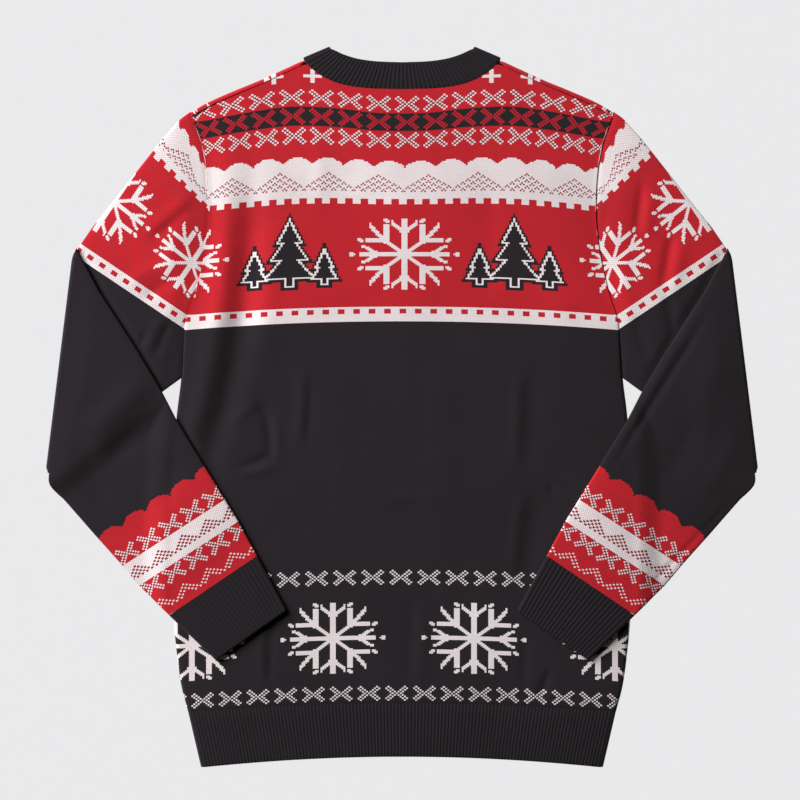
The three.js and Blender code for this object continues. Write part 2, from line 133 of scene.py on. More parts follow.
# Sleeve outlines, x and y
UPPER_OUTSIDE = [
    (217.6, 304.4),
    (227.4, 297.4),
    (248.7, 273.6),
    (277.2, 237.6),
    (299.2, 209.6),
    (319.7, 184.4),
    (334.4, 163.0),
]
FOLD_TOP = (334.4, 163.0)
FOLD_FOOT = (362.6, -66.0)
FOREARM_INSIDE = [
    (334.4, 161.0),
    (310.6, 117.2),
    (272.8, 58.6),
    (246.6, 14.6),
    (231.6, -14.6),
    (202.9, -61.6),
    (168.8, -117.0),
    (149.6, -152.4),
]
FOREARM_OUTSIDE = [
    (362.6, -66.0),
    (363.2, -69.2),
    (363.4, -74.0),
    (362.0, -78.6),
    (359.0, -82.8),
    (354.6, -87.4),
    (348.2, -93.2),
    (315.5, -130.4),
    (289.0, -159.8),
    (270.3, -182.0),
    (238.7, -212.6),
]
CUFF_INSIDE_END = (119.4, -208.6)
CUFF_OUTSIDE_END = (190.4, -258.6)
CUFF_WALL = 2.0
CUFF_RIBS = 23

# Broad waves of the back that the sleeves lie on: a curve's start, middle and end, half its width,
# and its height, below zero for a trough
BACK_WAVES = [
    (-178, 214, -176, 150, -166, 96, 27, -0.9),
    (-128, 206, -124, 120, -120, 40, 30, 0.8),
    (-190, 70, -188, 10, -184, -60, 26, 0.9),
    (133, -60, 130, -140, 126, -230, 28, -0.8),
    (160, 150, 166, 80, 172, 10, 27, 0.9),
]
# Its creases, in the same form
BACK_CREASES = [
    (-183, 270, -193, 73, -248, -110, 13, 2.1),
    (-156, 270, -166, 73, -221, -110, 13, -2.1),
    (-140, 196, -138, 110, -150, 0, 12, 0.5),
    (-104, 44, -103, 0, -110, -44, 7, 0.8),
    (-95, 38, -95, 0, -99, -38, 4, -0.5),
    (-152, 0, -139, -12, -135, -62, 4.4, -1.1),
    (-128, -4, -128, -34, -126, -64, 5, 0.5),
    (-168, -59, -150, -56, -134, -46, 4.4, -1.0),
    (-168, -68, -150, -65, -128, -60, 5, 0.7),
    (-178, -22, -162, -4, -150, 4, 6, 0.6),
    (121, 44, 119, -10, 117, -64, 7, 0.8),
    (137, 52, 134, -12, 132, -70, 13, -0.7),
    (124, -84, 118, -128, 113, -180, 7, 0.8),
    (142, -84, 135, -126, 130, -176, 13, -0.7),
    (150, -78, 154, -84, 158, -92, 4, -0.7),
    (-141, -180, -144, -240, -142, -292, 4, 0.6),
    (-132, -200, -135, -250, -134, -290, 4, -0.5),
    (8, -190, 9, -235, 6, -290, 7, -0.6),
    (20, -200, 21, -240, 18, -284, 7, 0.4),
    (127, -236, 126, -262, 127, -292, 4, -0.6),
    (153, -268, 147, -284, 142, -300, 3.6, -1.0),
    (-60, 60, -64, -20, -58, -110, 14, 0.5),
    (44, 70, 40, -30, 46, -120, 16, 0.4),
    (-20, -96, 10, -92, 44, -97, 7, 0.35),
    (86, 240, 92, 180, 90, 110, 12, -0.4),
    (-92, 300, -84, 250, -90, 190, 9, 0.4),
]
# Creases of the sleeves as laid, at +X on both sides
UPPER_CREASES = {
    "right": [
        (248, 234, 245, 206, 241, 176, 5, -1.4),
        (257, 226, 254, 200, 250, 172, 8, 0.8),
        (279, 184, 274, 152, 267, 120, 5.5, -1.4),
        (289, 178, 284, 150, 277, 118, 8, 0.7),
        (240, 100, 245, 74, 252, 44, 8, -1.3),
        (272, 120, 277, 92, 282, 62, 6, -1.1),
        (226, 150, 224, 120, 228, 84, 9, 0.8),
        (214, 200, 216, 170, 214, 130, 5, 0.7),
    ],
    "left": [
        (206, 226, 236, 200, 268, 176, 9, 0.9),
        (212, 212, 238, 190, 262, 168, 6, -0.9),
        (236, 150, 262, 140, 284, 122, 8, 0.7),
        (228, 136, 250, 124, 270, 108, 6, -0.7),
        (236, 92, 246, 72, 254, 50, 4.5, -1.0),
        (246, 96, 256, 76, 264, 56, 6, 0.5),
        (262, 80, 268, 68, 274, 52, 4.2, -0.8),
        (230, 190, 238, 160, 240, 128, 7, 0.6),
    ],
}
FOREARM_CREASES = {
    "right": [
        (318, 124, 264, 34, 208, -62, 4.5, 1.2),
        (318, 102, 268, 22, 216, -62, 4, -1.3),
        (352, -84, 306, -131, 246, -194, 3, -1.0),
        (330, 60, 312, 10, 318, -50, 16, 0.9),
        (300, 0, 290, -40, 262, -80, 14, -0.7),
        (342, -20, 330, -60, 300, -100, 12, 0.8),
    ],
    "left": [
        (254, 38, 290, 2, 330, -38, 13, 1.5),
        (334, 120, 336, 60, 344, 0, 9, -0.5),
        (234, 24, 272, -20, 312, -58, 12, -1.4),
        (226, -12, 244, -36, 268, -66, 14, 0.5),
        (226, -44, 240, -80, 250, -116, 9, -0.6),
        (330, -30, 318, -70, 300, -104, 12, -0.6),
    ],
}
# Creases pressed into the front, which lies on the floor, in the same form
FRONT_CREASES = [
    (-186, 180, -150, 60, -168, -80, 15, 0.7),
    (-60, 210, -84, 90, -52, -20, 11, 0.55),
    (34, 150, 52, 40, 40, -90, 13, 0.6),
    (150, 220, 128, 110, 146, -10, 9, 0.65),
    (-130, -110, -60, -150, 22, -136, 9, 0.5),
    (176, -60, 120, -150, 132, -270, 12, 0.6),
    (-172, -180, -164, -230, -178, -290, 7, 0.5),
    (-20, -180, -8, -240, -16, -296, 10, 0.5),
    (70, 250, 30, 232, -16, 244, 7, 0.45),
    (206, 30, 190, -30, 204, -90, 8, 0.55),
]
SLEEVE_LOFT = 2.4  # air caught in a sleeve lifts its upper layer by this much


# Curves and surfaces


def smoothstep(value, low, high):
    share = np.clip((value - low) / (high - low), 0, 1)
    return share * share * (3 - 2 * share)


def lerp(start, end, share):
    return start + (end - start) * share


def read(table, place, key=0, value=1):
    """Reads a table at places between its rows, along a smooth curve through them."""
    rows = np.array(sorted(table, key=lambda row: row[key]), float)
    keys, values = rows[:, key], rows[:, value]
    held = np.clip(place, keys[0], keys[-1])
    last = len(keys) - 1
    upper = np.clip(np.searchsorted(keys, held), 1, last)
    lower = upper - 1
    before, after = np.maximum(lower - 1, 0), np.minimum(upper + 1, last)
    span = keys[upper] - keys[lower]
    slope_in = (values[upper] - values[before]) / (keys[upper] - keys[before]) * span
    slope_out = (values[after] - values[lower]) / (keys[after] - keys[lower]) * span
    t = (held - keys[lower]) / span
    return (
        (2 * t**3 - 3 * t**2 + 1) * values[lower]
        + (t**3 - 2 * t**2 + t) * slope_in
        + (3 * t**2 - 2 * t**3) * values[upper]
        + (t**3 - t**2) * slope_out
    )


def along(points, share):
    """Points at equal shares of the length of a line through the given points."""
    line = np.array(points, float)
    lengths = np.hypot(*np.diff(line, axis=0).T)
    stops = np.concatenate([[0], np.cumsum(lengths)])
    place = np.asarray(share) * stops[-1]
    return np.stack([np.interp(place, stops, line[:, axis]) for axis in (0, 1)], axis=-1)


def between(start, end, share):
    return lerp(np.asarray(start, float), np.asarray(end, float), np.asarray(share)[..., None])


def half_width(y):
    return read(SIDES, y)


def rolled(y):
    return 1 - smoothstep(y, ROLL_START, ROLL_END)


def shoulder(x):
    return read(SHOULDER, x)


def hem_seam(x):
    return HEM_SEAM - HEM_SEAM_DROP * (x / HEM_SEAM_HALF) ** 2


def hem_edge(x):
    return HEM_EDGE - HEM_EDGE_DROP * (x / HEM_EDGE_HALF) ** 2


CREASE_STEPS = 14
CREASE_END_SHARE, CREASE_END_HEIGHT = 0.3, 0.15  # a crease's ends: shares of its length and height


def crease_height(creases, x, y):
    """The height that curved soft creases add at each point."""
    total = np.zeros_like(x)
    shares = np.linspace(0, 1, CREASE_STEPS + 1)
    for start_x, start_y, mid_x, mid_y, end_x, end_y, width, height in creases:
        pull_x, pull_y = 2 * mid_x - (start_x + end_x) / 2, 2 * mid_y - (start_y + end_y) / 2
        line_x = (1 - shares) ** 2 * start_x + 2 * shares * (1 - shares) * pull_x + shares**2 * end_x
        line_y = (1 - shares) ** 2 * start_y + 2 * shares * (1 - shares) * pull_y + shares**2 * end_y
        nearest = np.full(x.shape, np.inf)
        place = np.zeros_like(x)
        for step in range(CREASE_STEPS):
            way_x, way_y = line_x[step + 1] - line_x[step], line_y[step + 1] - line_y[step]
            share = ((x - line_x[step]) * way_x + (y - line_y[step]) * way_y) / (way_x**2 + way_y**2)
            share = np.clip(share, 0, 1)
            apart = np.hypot(x - line_x[step] - share * way_x, y - line_y[step] - share * way_y)
            closer = apart < nearest
            nearest = np.where(closer, apart, nearest)
            place = np.where(closer, (step + share) / CREASE_STEPS, place)
        fade = smoothstep(place, 0, CREASE_END_SHARE) * (1 - smoothstep(place, 1 - CREASE_END_SHARE, 1))
        total += height * lerp(CREASE_END_HEIGHT, 1, fade) * np.exp(-((nearest / width) ** 2))
    return total


COVER = FOREARM_INSIDE + [CUFF_INSIDE_END, CUFF_OUTSIDE_END]
COVER_EDGE, COVER_MARGIN = 2.0, 12.0  # how far from a sleeve the cloth's creases start and are whole


def clear_of_sleeve(x, y):
    """1 where nothing lies on the cloth, falling to 0 under a folded sleeve."""
    cover_x, cover_y = np.array(COVER).T
    edge = np.interp(-y, -cover_y, cover_x, left=np.inf, right=np.inf)
    return smoothstep(edge - np.abs(x), COVER_EDGE, COVER_MARGIN)


def ripple(x, y):
    """The uneven surface of laid cloth, about 1 high."""
    return (
        np.sin(0.061 * x + 0.023 * y + 1.3) * np.sin(0.047 * y - 0.019 * x + 0.4)
        + 0.6 * np.sin(0.113 * x - 0.051 * y + 2.1) * np.sin(0.083 * y + 0.037 * x)
        + 0.35 * np.sin(0.19 * x + 0.07 * y) * np.sin(0.061 * y + 1.1)
    ) / 1.6


def back_base(x, y):
    """Height of the back panel's upper face under a sleeve."""
    across = np.minimum(np.abs(x) / half_width(y), 1)
    return BODY_EDGE + (1 - across**LOFT_POWER) * (BODY_LOFT + crease_height(BACK_WAVES, x, y))


RIPPLE = 0.2  # height of the uneven surface
CREASE_GAIN = 1.6  # how much higher creases stand than their tables say
DIP_START = 20  # over this much of the side the armhole's groove starts


def seam_dip(apart):
    """How deep the groove beside a seam is."""
    return SEAM_DIP * np.exp(-((apart / SEAM_REACH) ** 2))


def back_top(x, y):
    """Height of the back panel's upper face."""
    across = np.minimum(np.abs(x) / half_width(y), 1)
    free = (1 - across**CREASE_POWER) * clear_of_sleeve(x, y)
    armhole_dip = seam_dip(half_width(y) - np.abs(x)) * smoothstep(y, ROLL_END, ROLL_END + DIP_START)
    creases = CREASE_GAIN * crease_height(BACK_CREASES, x, y)
    dip = armhole_dip + seam_dip(hem_seam(x) - y)
    return back_base(x, y) - dip + free * (creases + RIPPLE * ripple(x, y))


def neck_at(neck, share):
    """The neckline's seam, the band's free edge and the way from one to the other, from -1 to 1 across."""
    rows = np.array(neck, float)
    lengths = np.hypot(*np.diff((rows[:, :2] + rows[:, 2:]) / 2, axis=0).T)
    stops = np.concatenate([[0], np.cumsum(lengths)]) / lengths.sum()
    shares = [(stop, *row) for stop, row in zip(stops, neck)]
    seam_x, seam_y, edge_x, edge_y = (read(shares, np.abs(share), 0, column) for column in (1, 2, 3, 4))
    side = np.where(share < 0, -1.0, 1.0)
    seam = np.stack([side * seam_x, seam_y], axis=-1)
    edge = np.stack([side * edge_x, edge_y], axis=-1)
    way = edge - seam
    return seam, edge, way / np.linalg.norm(way, axis=-1, keepdims=True)


BODY_HALF = SHOULDER[-1][0]
SIDE_FOOT = hem_seam(HEM_SEAM_HALF) - SEAM_OVERLAP
BACK_HEAD = SHOULDER[-1][1] - SHOULDER_LAP - SEAM
SIDE_HEAD = SHOULDER[-1][1] - SEAM
NECK_SAMPLES = 80


def across_at(stop, half):
    """How far across a stop lies: straight up the panel in the middle, along its outline at the sides."""
    return stop * BODY_HALF + np.sign(stop) * stop**6 * (half - BODY_HALF)


def panel_head(neck, stop, margin):
    """The height that a panel reaches at a stop across it."""
    seam, _, way = neck_at(neck, np.linspace(0, 1, NECK_SAMPLES))
    line = seam + way * SEAM_OVERLAP
    x = np.abs(stop) * BODY_HALF
    neckline = np.where(x < line[-1, 0], np.interp(x, line[:, 0], line[:, 1]), np.inf)
    return np.minimum(neckline, shoulder(x) - margin)


def panel_point(stop, head, side, inset):
    foot = hem_seam(across_at(stop, HEM_SEAM_HALF - inset(SIDE_FOOT))) - SEAM_OVERLAP
    y = lerp(foot, head, (side - SIDE_FOOT) / (BACK_HEAD - SIDE_FOOT))
    return across_at(stop, half_width(y) - inset(y)), y


# Cloth coordinates: the knit's own millimetres, across and along its courses

BOW, BOW_HALF = 8.75, 221.0  # how much lower a course lies at the side seams
# Height up the body, the courses' rise over the shoulder blades, and how much the cloth spreads at the sides
YOKE = [
    (60, 0.0, 0.0),
    (158, 0.5, 0.0),
    (214, 2.6, -0.02),
    (250, 5.6, -0.035),
    (275, 6.4, -0.03),
    (312, 9.5, 0.05),
    (360, 9.5, 0.05),
]
# How that rise is shared out across the body
RISE = [
    (0, 0.0),
    (29, 0.12),
    (58, 0.55),
    (88, 0.87),
    (116, 1.0),
    (144, 0.8),
    (175, 0.42),
    (206, 0.0),
    (240, 0.0),
]
SPREAD_HALF = 206.0


def body_cloth(x, y, wrap=0.0):
    heights, rises, spreads = np.array(YOKE).T
    rise, spread = np.interp(y, heights, rises), np.interp(y, heights, spreads)
    u = x * (1 - spread * (x / SPREAD_HALF) ** 2) + wrap
    v = y + BOW * (x / BOW_HALF) ** 2 - rise * read(RISE, np.abs(x))
    return np.stack([u, v], axis=-1)


# Making a sheet of cloth

CLOTH_MAP = "cloth"
MERGE = 0.00001
SMOOTH_ANGLE = math.radians(50)


def cloth_grid(name, columns, rows, place, mirror=False):
    """A grid moved on to the garment. place turns shares across and along into points and cloth places."""
    bpy.ops.object.select_all(action="DESELECT")
    bpy.ops.mesh.primitive_grid_add(x_subdivisions=columns, y_subdivisions=rows, size=2)
    piece = bpy.context.object
    piece.name = piece.data.name = name
    mesh = piece.data
    flat = np.empty(len(mesh.vertices) * 3)
    mesh.vertices.foreach_get("co", flat)
    shares = (flat.reshape(-1, 3)[:, :2] + 1) / 2
    across = 1 - shares[:, 0] if mirror else shares[:, 0]
    points, cloth = place(across, shares[:, 1])
    points[:, 1] -= MIDDLE
    if mirror:
        points[:, 0] *= -1
    mesh.vertices.foreach_set("co", (points * MM).ravel())
    corners = np.empty(len(mesh.loops), np.int32)
    mesh.loops.foreach_get("vertex_index", corners)
    layer = mesh.uv_layers[0]
    layer.name = CLOTH_MAP
    layer.data.foreach_set("uv", cloth[corners].ravel())
    mesh.update()
    return piece


def merge_doubles(piece):
    bpy.ops.object.mode_set(mode="EDIT")
    bpy.ops.mesh.select_all(action="SELECT")
    bpy.ops.mesh.remove_doubles(threshold=MERGE)
    bpy.ops.object.mode_set(mode="OBJECT")


def give_wall(piece, thickness, even=True):
    """Thickens a sheet inwards. What rests on the floor is kept level with it."""
    wall = piece.modifiers.new("wall", "SOLIDIFY")
    wall.thickness = thickness
    wall.offset = -1
    wall.use_even_offset = even
    bpy.ops.object.modifier_apply(modifier=wall.name)
    mesh = piece.data
    points = np.empty(len(mesh.vertices) * 3)
    mesh.vertices.foreach_get("co", points)
    points[2::3] = np.maximum(points[2::3], 0)
    mesh.vertices.foreach_set("co", points)
    mesh.update()


def finish(piece, material, nodes):
    bpy.ops.object.shade_smooth_by_angle(angle=SMOOTH_ANGLE)
    piece.data.materials.clear()
    piece.data.materials.append(material)
    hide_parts(*nodes)
    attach(piece, "root")


def stacked(x, y, z):
    return np.stack([x, y, z], axis=-1)


# Body panels

PANEL_COLUMNS, PANEL_ROWS = 160, 220
DRAWN_OUT = 1.2  # above 1 draws the columns together at the sides
ROLL_SHARE = 0.03  # share of the back panel's columns that lie in each rolled side


def rolled_stop(across, flat_share):
    """Turns a share across a panel with rolled sides into a stop from -1 to 1 and the angle of the roll."""
    place = 2 * across - 1
    beyond = np.maximum(np.abs(place) - flat_share, 0) / (1 - flat_share)
    return np.clip(place / flat_share, -1, 1), beyond * math.pi / 2


def drawn_out(across):
    """Shares across a panel with the columns drawn together at its sides."""
    place = 2 * across - 1
    return (1 + np.sign(place) * (1 - (1 - np.abs(place)) ** DRAWN_OUT)) / 2


def back_panel_place(across, rows):
    across = drawn_out(across)
    stop, angle = rolled_stop(across, 1 - 2 * ROLL_SHARE)
    head = panel_head(BACK_NECK, stop, SHOULDER_LAP + SEAM)
    side = lerp(SIDE_FOOT, BACK_HEAD, rows)
    x, y = panel_point(stop, head, side, lambda _: SIDE_ROLL)
    roll = rolled(y)
    height = back_top(x, y)
    z = lerp(height, height * np.cos(angle), roll)
    cloth = body_cloth(x, y, np.sign(stop) * SIDE_ROLL * angle)
    return stacked(x + np.sign(stop) * SIDE_ROLL * np.sin(angle), y, z), cloth


FRONT_COLUMNS, FRONT_ROWS = 120, 120
LAP_ROWS_SHARE = 0.1  # share of the front panel's rows that lie in the lap over the shoulder
LAP_TURN_SHARE = 0.7  # share of those that lie in its bend
LAP_START, LAP_END = 99, 104
CALM_HEAD, CALM_FOOT = 0.1, 0.06  # shares of the front's height over which its creases die away


def front_panel_place(across, rows):
    stop = 2 * across - 1
    head = panel_head(FRONT_NECK, stop, 0)
    lap = smoothstep(np.abs(stop) * BODY_HALF, LAP_START, LAP_END)
    flat = np.minimum(rows / (1 - LAP_ROWS_SHARE), 1)
    bent = np.maximum(rows - (1 - LAP_ROWS_SHARE), 0) / LAP_ROWS_SHARE
    turn = np.minimum(bent / LAP_TURN_SHARE, 1)
    back = np.maximum(bent - LAP_TURN_SHARE, 0) / (1 - LAP_TURN_SHARE)
    top = BODY_EDGE + (1 - np.abs(stop) ** 4) * BODY_LOFT
    inner = (top - 2 * CLOTH) / 2
    reach = inner + CLOTH
    angle = (turn - 0.5) * math.pi
    curled_y = -reach + inner * np.cos(angle) - back * (SHOULDER_LAP - SEAM - reach)
    curled_z = CLOTH + inner + inner * np.sin(angle)
    level_y = lerp(-reach, 0, bent)
    start = head - reach
    side = lerp(SIDE_FOOT, BACK_HEAD, flat)
    x, y = panel_point(stop, start, side, lambda y: TUCK * rolled(y - TUCK_LAG))
    y = y + np.where(bent > 0, reach + lerp(level_y, curled_y, lap), 0)
    z = np.where(bent > 0, lerp(CLOTH, curled_z, lap), CLOTH)
    calm = np.where(bent > 0, 0, smoothstep(1 - flat, 0, CALM_HEAD)) * smoothstep(flat, 0, CALM_FOOT)
    z = z + crease_height(FRONT_CREASES, x, y) * (1 - stop**6) * calm
    cloth = body_cloth(x, y)
    cloth[:, 1] = np.where(bent > 0, cloth[:, 1] + lap * bent * reach, cloth[:, 1])
    return stacked(x, y, z), cloth


# Hems

HEM_ROWS = 14
HEM_ROLL_COLUMNS = 10
EDGE_DROP = 1.3  # radius of the rounded free edge of a rib
EDGE_DRAW = 1.6  # above 1 draws the rows together at that edge
UPPER_DROP, UNDER_DROP = 0.6, 0.4  # shares of the rounding on a rib's upper and lower side


def rib(place):
    """The rise of a rib's round crest, with its grooves at whole numbers."""
    return RIB_RISE * (0.5 - 0.5 * np.cos(2 * math.pi * place)) ** 0.8


def rounded_edge(length, share):
    """Where a row lies and how far the cloth has dropped there. Rows are drawn together at the free edge."""
    place = length * (1 - (1 - share) ** EDGE_DRAW)
    left = np.maximum(EDGE_DROP - (length - place), 0)
    return place / length, EDGE_DROP - np.sqrt(np.maximum(EDGE_DROP**2 - left**2, 0))


def back_hem_place(across, rows):
    columns = HEM_RIBS * RIB_COLUMNS
    total = columns + 2 * HEM_ROLL_COLUMNS
    stop, angle = rolled_stop(across, columns / total)
    share, drop = rounded_edge(HEM_SEAM - HEM_EDGE, 1 - rows)
    half = lerp(HEM_SEAM_HALF, HEM_EDGE_HALF, share)
    x = stop * (half - SIDE_ROLL)
    y = lerp(hem_seam(x) - SEAM / 2, hem_edge(x), share)
    height = back_top(x, y) + rib((stop + 1) / 2 * HEM_RIBS) * np.cos(angle) - UPPER_DROP * drop
    out = SIDE_ROLL * np.sin(angle)
    ribs = (stop + 1) / 2 * HEM_RIBS + np.sign(stop) * angle
    cloth = np.stack([ribs, y], axis=-1)
    return stacked(x + np.sign(stop) * out, y, height * np.cos(angle)), cloth


def front_hem_place(across, rows):
    stop = 2 * across - 1
    share, _ = rounded_edge(HEM_SEAM - HEM_EDGE, 1 - rows)
    x = stop * (lerp(HEM_SEAM_HALF, HEM_EDGE_HALF, share) - TUCK)
    y = lerp(hem_seam(x) - SEAM / 2, hem_edge(x), share)
    return stacked(x, y, np.full_like(x, HEM_WALL)), np.stack([across * HEM_RIBS, y], axis=-1)


# Neckband: a ring of doubled rib, closed round its own section

BAND_TURN_COLUMNS = 8
BAND_COLUMNS = 2 * (NECK_RIBS * RIB_COLUMNS + BAND_TURN_COLUMNS)
BAND_ROWS = 28
BAND_SECTION = (0.4, 0.12, 0.36, 0.12)  # shares of its outer face, free edge, inner face and seam edge


def neckband_place(across, rows):
    half = NECK_RIBS * RIB_COLUMNS
    place = across * BAND_COLUMNS
    front = place > half + BAND_TURN_COLUMNS
    local = np.where(front, place - half - BAND_TURN_COLUMNS, place)
    run = np.minimum(local / half, 1)
    turning = np.maximum(local - half, 0) / BAND_TURN_COLUMNS
    share = np.where(front, 1 - 2 * run, 2 * run - 1)
    turn = np.where(front, math.pi + math.pi * turning, math.pi * turning)
    seam_b, edge_b, way_b = neck_at(BACK_NECK, share)
    seam_f, edge_f, way_f = neck_at(FRONT_NECK, share)
    flat_front = front & (turning == 0)
    use_front = flat_front[:, None]
    seam = np.where(use_front, seam_f, seam_b)
    edge = np.where(use_front, edge_f, edge_b)
    way = np.where(use_front, way_f, way_b)
    length = np.linalg.norm(edge - seam, axis=-1)
    radius = BAND / 2
    outer, free, inner, seamed = BAND_SECTION
    face = np.clip(rows / outer, 0, 1)
    bend = np.clip((rows - outer) / free, 0, 1)
    inside = np.clip((rows - outer - free) / inner, 0, 1)
    close = np.clip((rows - outer - free - inner) / seamed, 0, 1)
    span = length - 2 * radius
    s = radius + span * (face - inside) + radius * (np.sin(bend * math.pi) - np.sin(close * math.pi))
    facing = np.where(rows <= outer + free + inner, np.cos(bend * math.pi), -np.cos(close * math.pi))
    depth = SEAM / 2 + radius + radius * facing
    outward = np.clip((depth - SEAM / 2) / BAND, 0, 1)
    rise = rib(place / RIB_COLUMNS) * np.where(turning > 0, 0.5, 1)
    depth = depth + outward * (rise - np.where(flat_front, RIB_RISE, 0))
    layer = BAND + SEAM / 2
    point = seam + way * s[:, None]
    side = np.where(share < 0, -1.0, 1.0)
    reach = depth * np.sin(turn) * np.where(front, -1, 1)
    x = point[:, 0] + side * way[:, 1] * reach
    y = point[:, 1] - side * way[:, 0] * reach
    z = layer + depth * np.cos(turn)
    return stacked(x, y, z), np.stack([place / RIB_COLUMNS, s], axis=-1)


# Sleeves, worked out at +X

ARMHOLE_ROWS = 10
ARMHOLE_HEIGHTS = [lerp(BACK_HEAD, ARMHOLE_FOOT, row / ARMHOLE_ROWS) for row in range(ARMHOLE_ROWS + 1)]
ARMHOLE = [(float(half_width(np.array(y))) - SEAM_OVERLAP, y) for y in (SIDE_HEAD, *ARMHOLE_HEIGHTS)]
UNDERARM = ARMHOLE[-1]
FLAT_SHARE, ARC_SHARE = 0.44, 0.06  # shares of a sleeve's columns in one layer and in one rounded side
UPPER_SHARE, FOLD_SHARE = 0.32, 0.08  # shares of its rows above the elbow and in the fold
FOLD_TOP_SHARE, FOLD_FOOT_SHARE = 0.06, 0.02  # shares of the fold's length that round off at its ends
SLEEVE_COLUMNS, SLEEVE_ROWS = 150, 170
LIFT_START = 0.2  # share of the upper sleeve over which it rises from the armhole
FOREARM_RISE, FOREARM_FALL = 0.16, 0.82  # shares of the forearm between which it is raised in full
FOLD_BLEND = 0.12  # share of the forearm that leads from the fold on to what carries it
ARMHOLE_LEAN = 0.96  # a step across against a step square to the armhole


def carried(x, y):
    """The height of what carries the folded forearm."""
    past_body = x - half_width(y)
    way = np.array(FOLD_FOOT) - np.array(UNDERARM)
    way = way / np.hypot(*way)
    past_sleeve = (x - UNDERARM[0]) * way[1] - (y - UNDERARM[1]) * way[0]
    support = np.where(past_body < 0, np.maximum(back_base(x, y), back_base(-x, y)), BODY_EDGE) + REST
    return support * (1 - smoothstep(np.minimum(past_body, past_sleeve), FALL_START, FALL_END))


def upper_point(share, across):
    straight = lerp(along(ARMHOLE, across), between(FOLD_TOP, FOLD_FOOT, across), share[..., None])
    chord = between(ARMHOLE[0], FOLD_TOP, share)
    return straight + (along(UPPER_OUTSIDE, share) - chord) * (1 - across)[..., None]


def forearm_point(share, across):
    return lerp(along(FOREARM_INSIDE, share), along(FOREARM_OUTSIDE, share), across[..., None])


WAY_STEP = 0.03  # share of a tube's width over which its way across is measured


def flat_tube(around, thickness, point_at):
    """Lays a flattened tube: points, heights above its underside, and the share across the tube at each
    point.
    """
    radius = thickness / 2
    inset = radius - EDGE_ROUND
    zero, one = np.zeros_like(around), np.ones_like(around)
    width = np.linalg.norm(point_at(one) - point_at(zero), axis=-1)
    edge = inset / width
    first = np.clip(around / FLAT_SHARE, 0, 1)
    second = np.clip((around - 0.5) / FLAT_SHARE, 0, 1)
    lower = around >= 0.5
    share = np.where(lower, 1 - second, first)
    held = edge + share * (1 - 2 * edge)
    spot = point_at(held)
    arc = np.where(lower, (around - 0.5 - FLAT_SHARE), (around - FLAT_SHARE)) / ARC_SHARE
    arc = np.clip(arc, 0, 1) * math.pi
    step = np.where(lower, -WAY_STEP, WAY_STEP)
    way = point_at(held) - point_at(held - step)
    way = way / np.linalg.norm(way, axis=-1, keepdims=True)
    spot = spot + way * (radius * np.sin(arc))[..., None]
    height = radius + radius * np.where(lower, -1, 1) * np.cos(arc)
    return spot, height, held


# Three courses of the upper sleeve: start and end, x and y, and how far down the cloth they run
SLEEVE_COURSES = [
    (228.7, 296.6, 203.9, 253.4, 0.0),
    (259.6, 261.6, 199.8, 205.4, 47.4),
    (333.7, 171.0, 222.2, 96.4, 162.8),
]


def divisor(gap):
    """A gap to divide by, with 1 in place of what is smaller."""
    return np.where(np.abs(gap) < 1, 1, gap)


def sleeve_cloth_upper(x, y):
    """Cloth coordinates above the elbow, where the courses fan out."""
    past = []
    for start_x, start_y, end_x, end_y, _ in SLEEVE_COURSES:
        way_x, way_y = end_x - start_x, end_y - start_y
        past.append(((x - start_x) * -way_y + (y - start_y) * way_x) / math.hypot(way_x, way_y))
    first, second, third = past
    top, middle, low = [row[4] for row in SLEEVE_COURSES]
    v_one = top + (middle - top) * first / divisor(first - second)
    v_two = middle + (low - middle) * second / divisor(second - third)
    v_rest = np.where(third < 0, v_two, low + third)
    v = np.where(first < 0, first, np.where(second < 0, v_one, v_rest))
    u = 577.7 - 0.831 * x - 0.556 * y
    return np.stack([u, v], axis=-1)


def sleeve_cloth_forearm(x, y):
    return np.stack([118.8 - 0.839 * x + 0.544 * y, 516.8 - 0.544 * x - 0.839 * y], axis=-1)


def sleeve_lift(across, upper, forearm, in_upper, in_fold, x, y, side):
    """How far the top layer of a sleeve is raised by the air in it and by its creases."""
    middle = np.clip(4 * across * (1 - across), 0, 1)
    start = smoothstep(upper, 0, LIFT_START) * clear_of_sleeve(x, y)
    creases = CREASE_GAIN * crease_height(UPPER_CREASES[side], x, y)
    on_upper = start * (SLEEVE_LOFT + creases + RIPPLE * ripple(x, y))
    calm = smoothstep(forearm, 0, FOREARM_RISE) * (1 - smoothstep(forearm, FOREARM_FALL, 1))
    creases = CREASE_GAIN * crease_height(FOREARM_CREASES[side], x, y)
    on_forearm = calm * (SLEEVE_LOFT + creases + RIPPLE * ripple(y, x))
    return middle**0.5 * np.where(in_upper, on_upper, np.where(in_fold, 0, on_forearm))


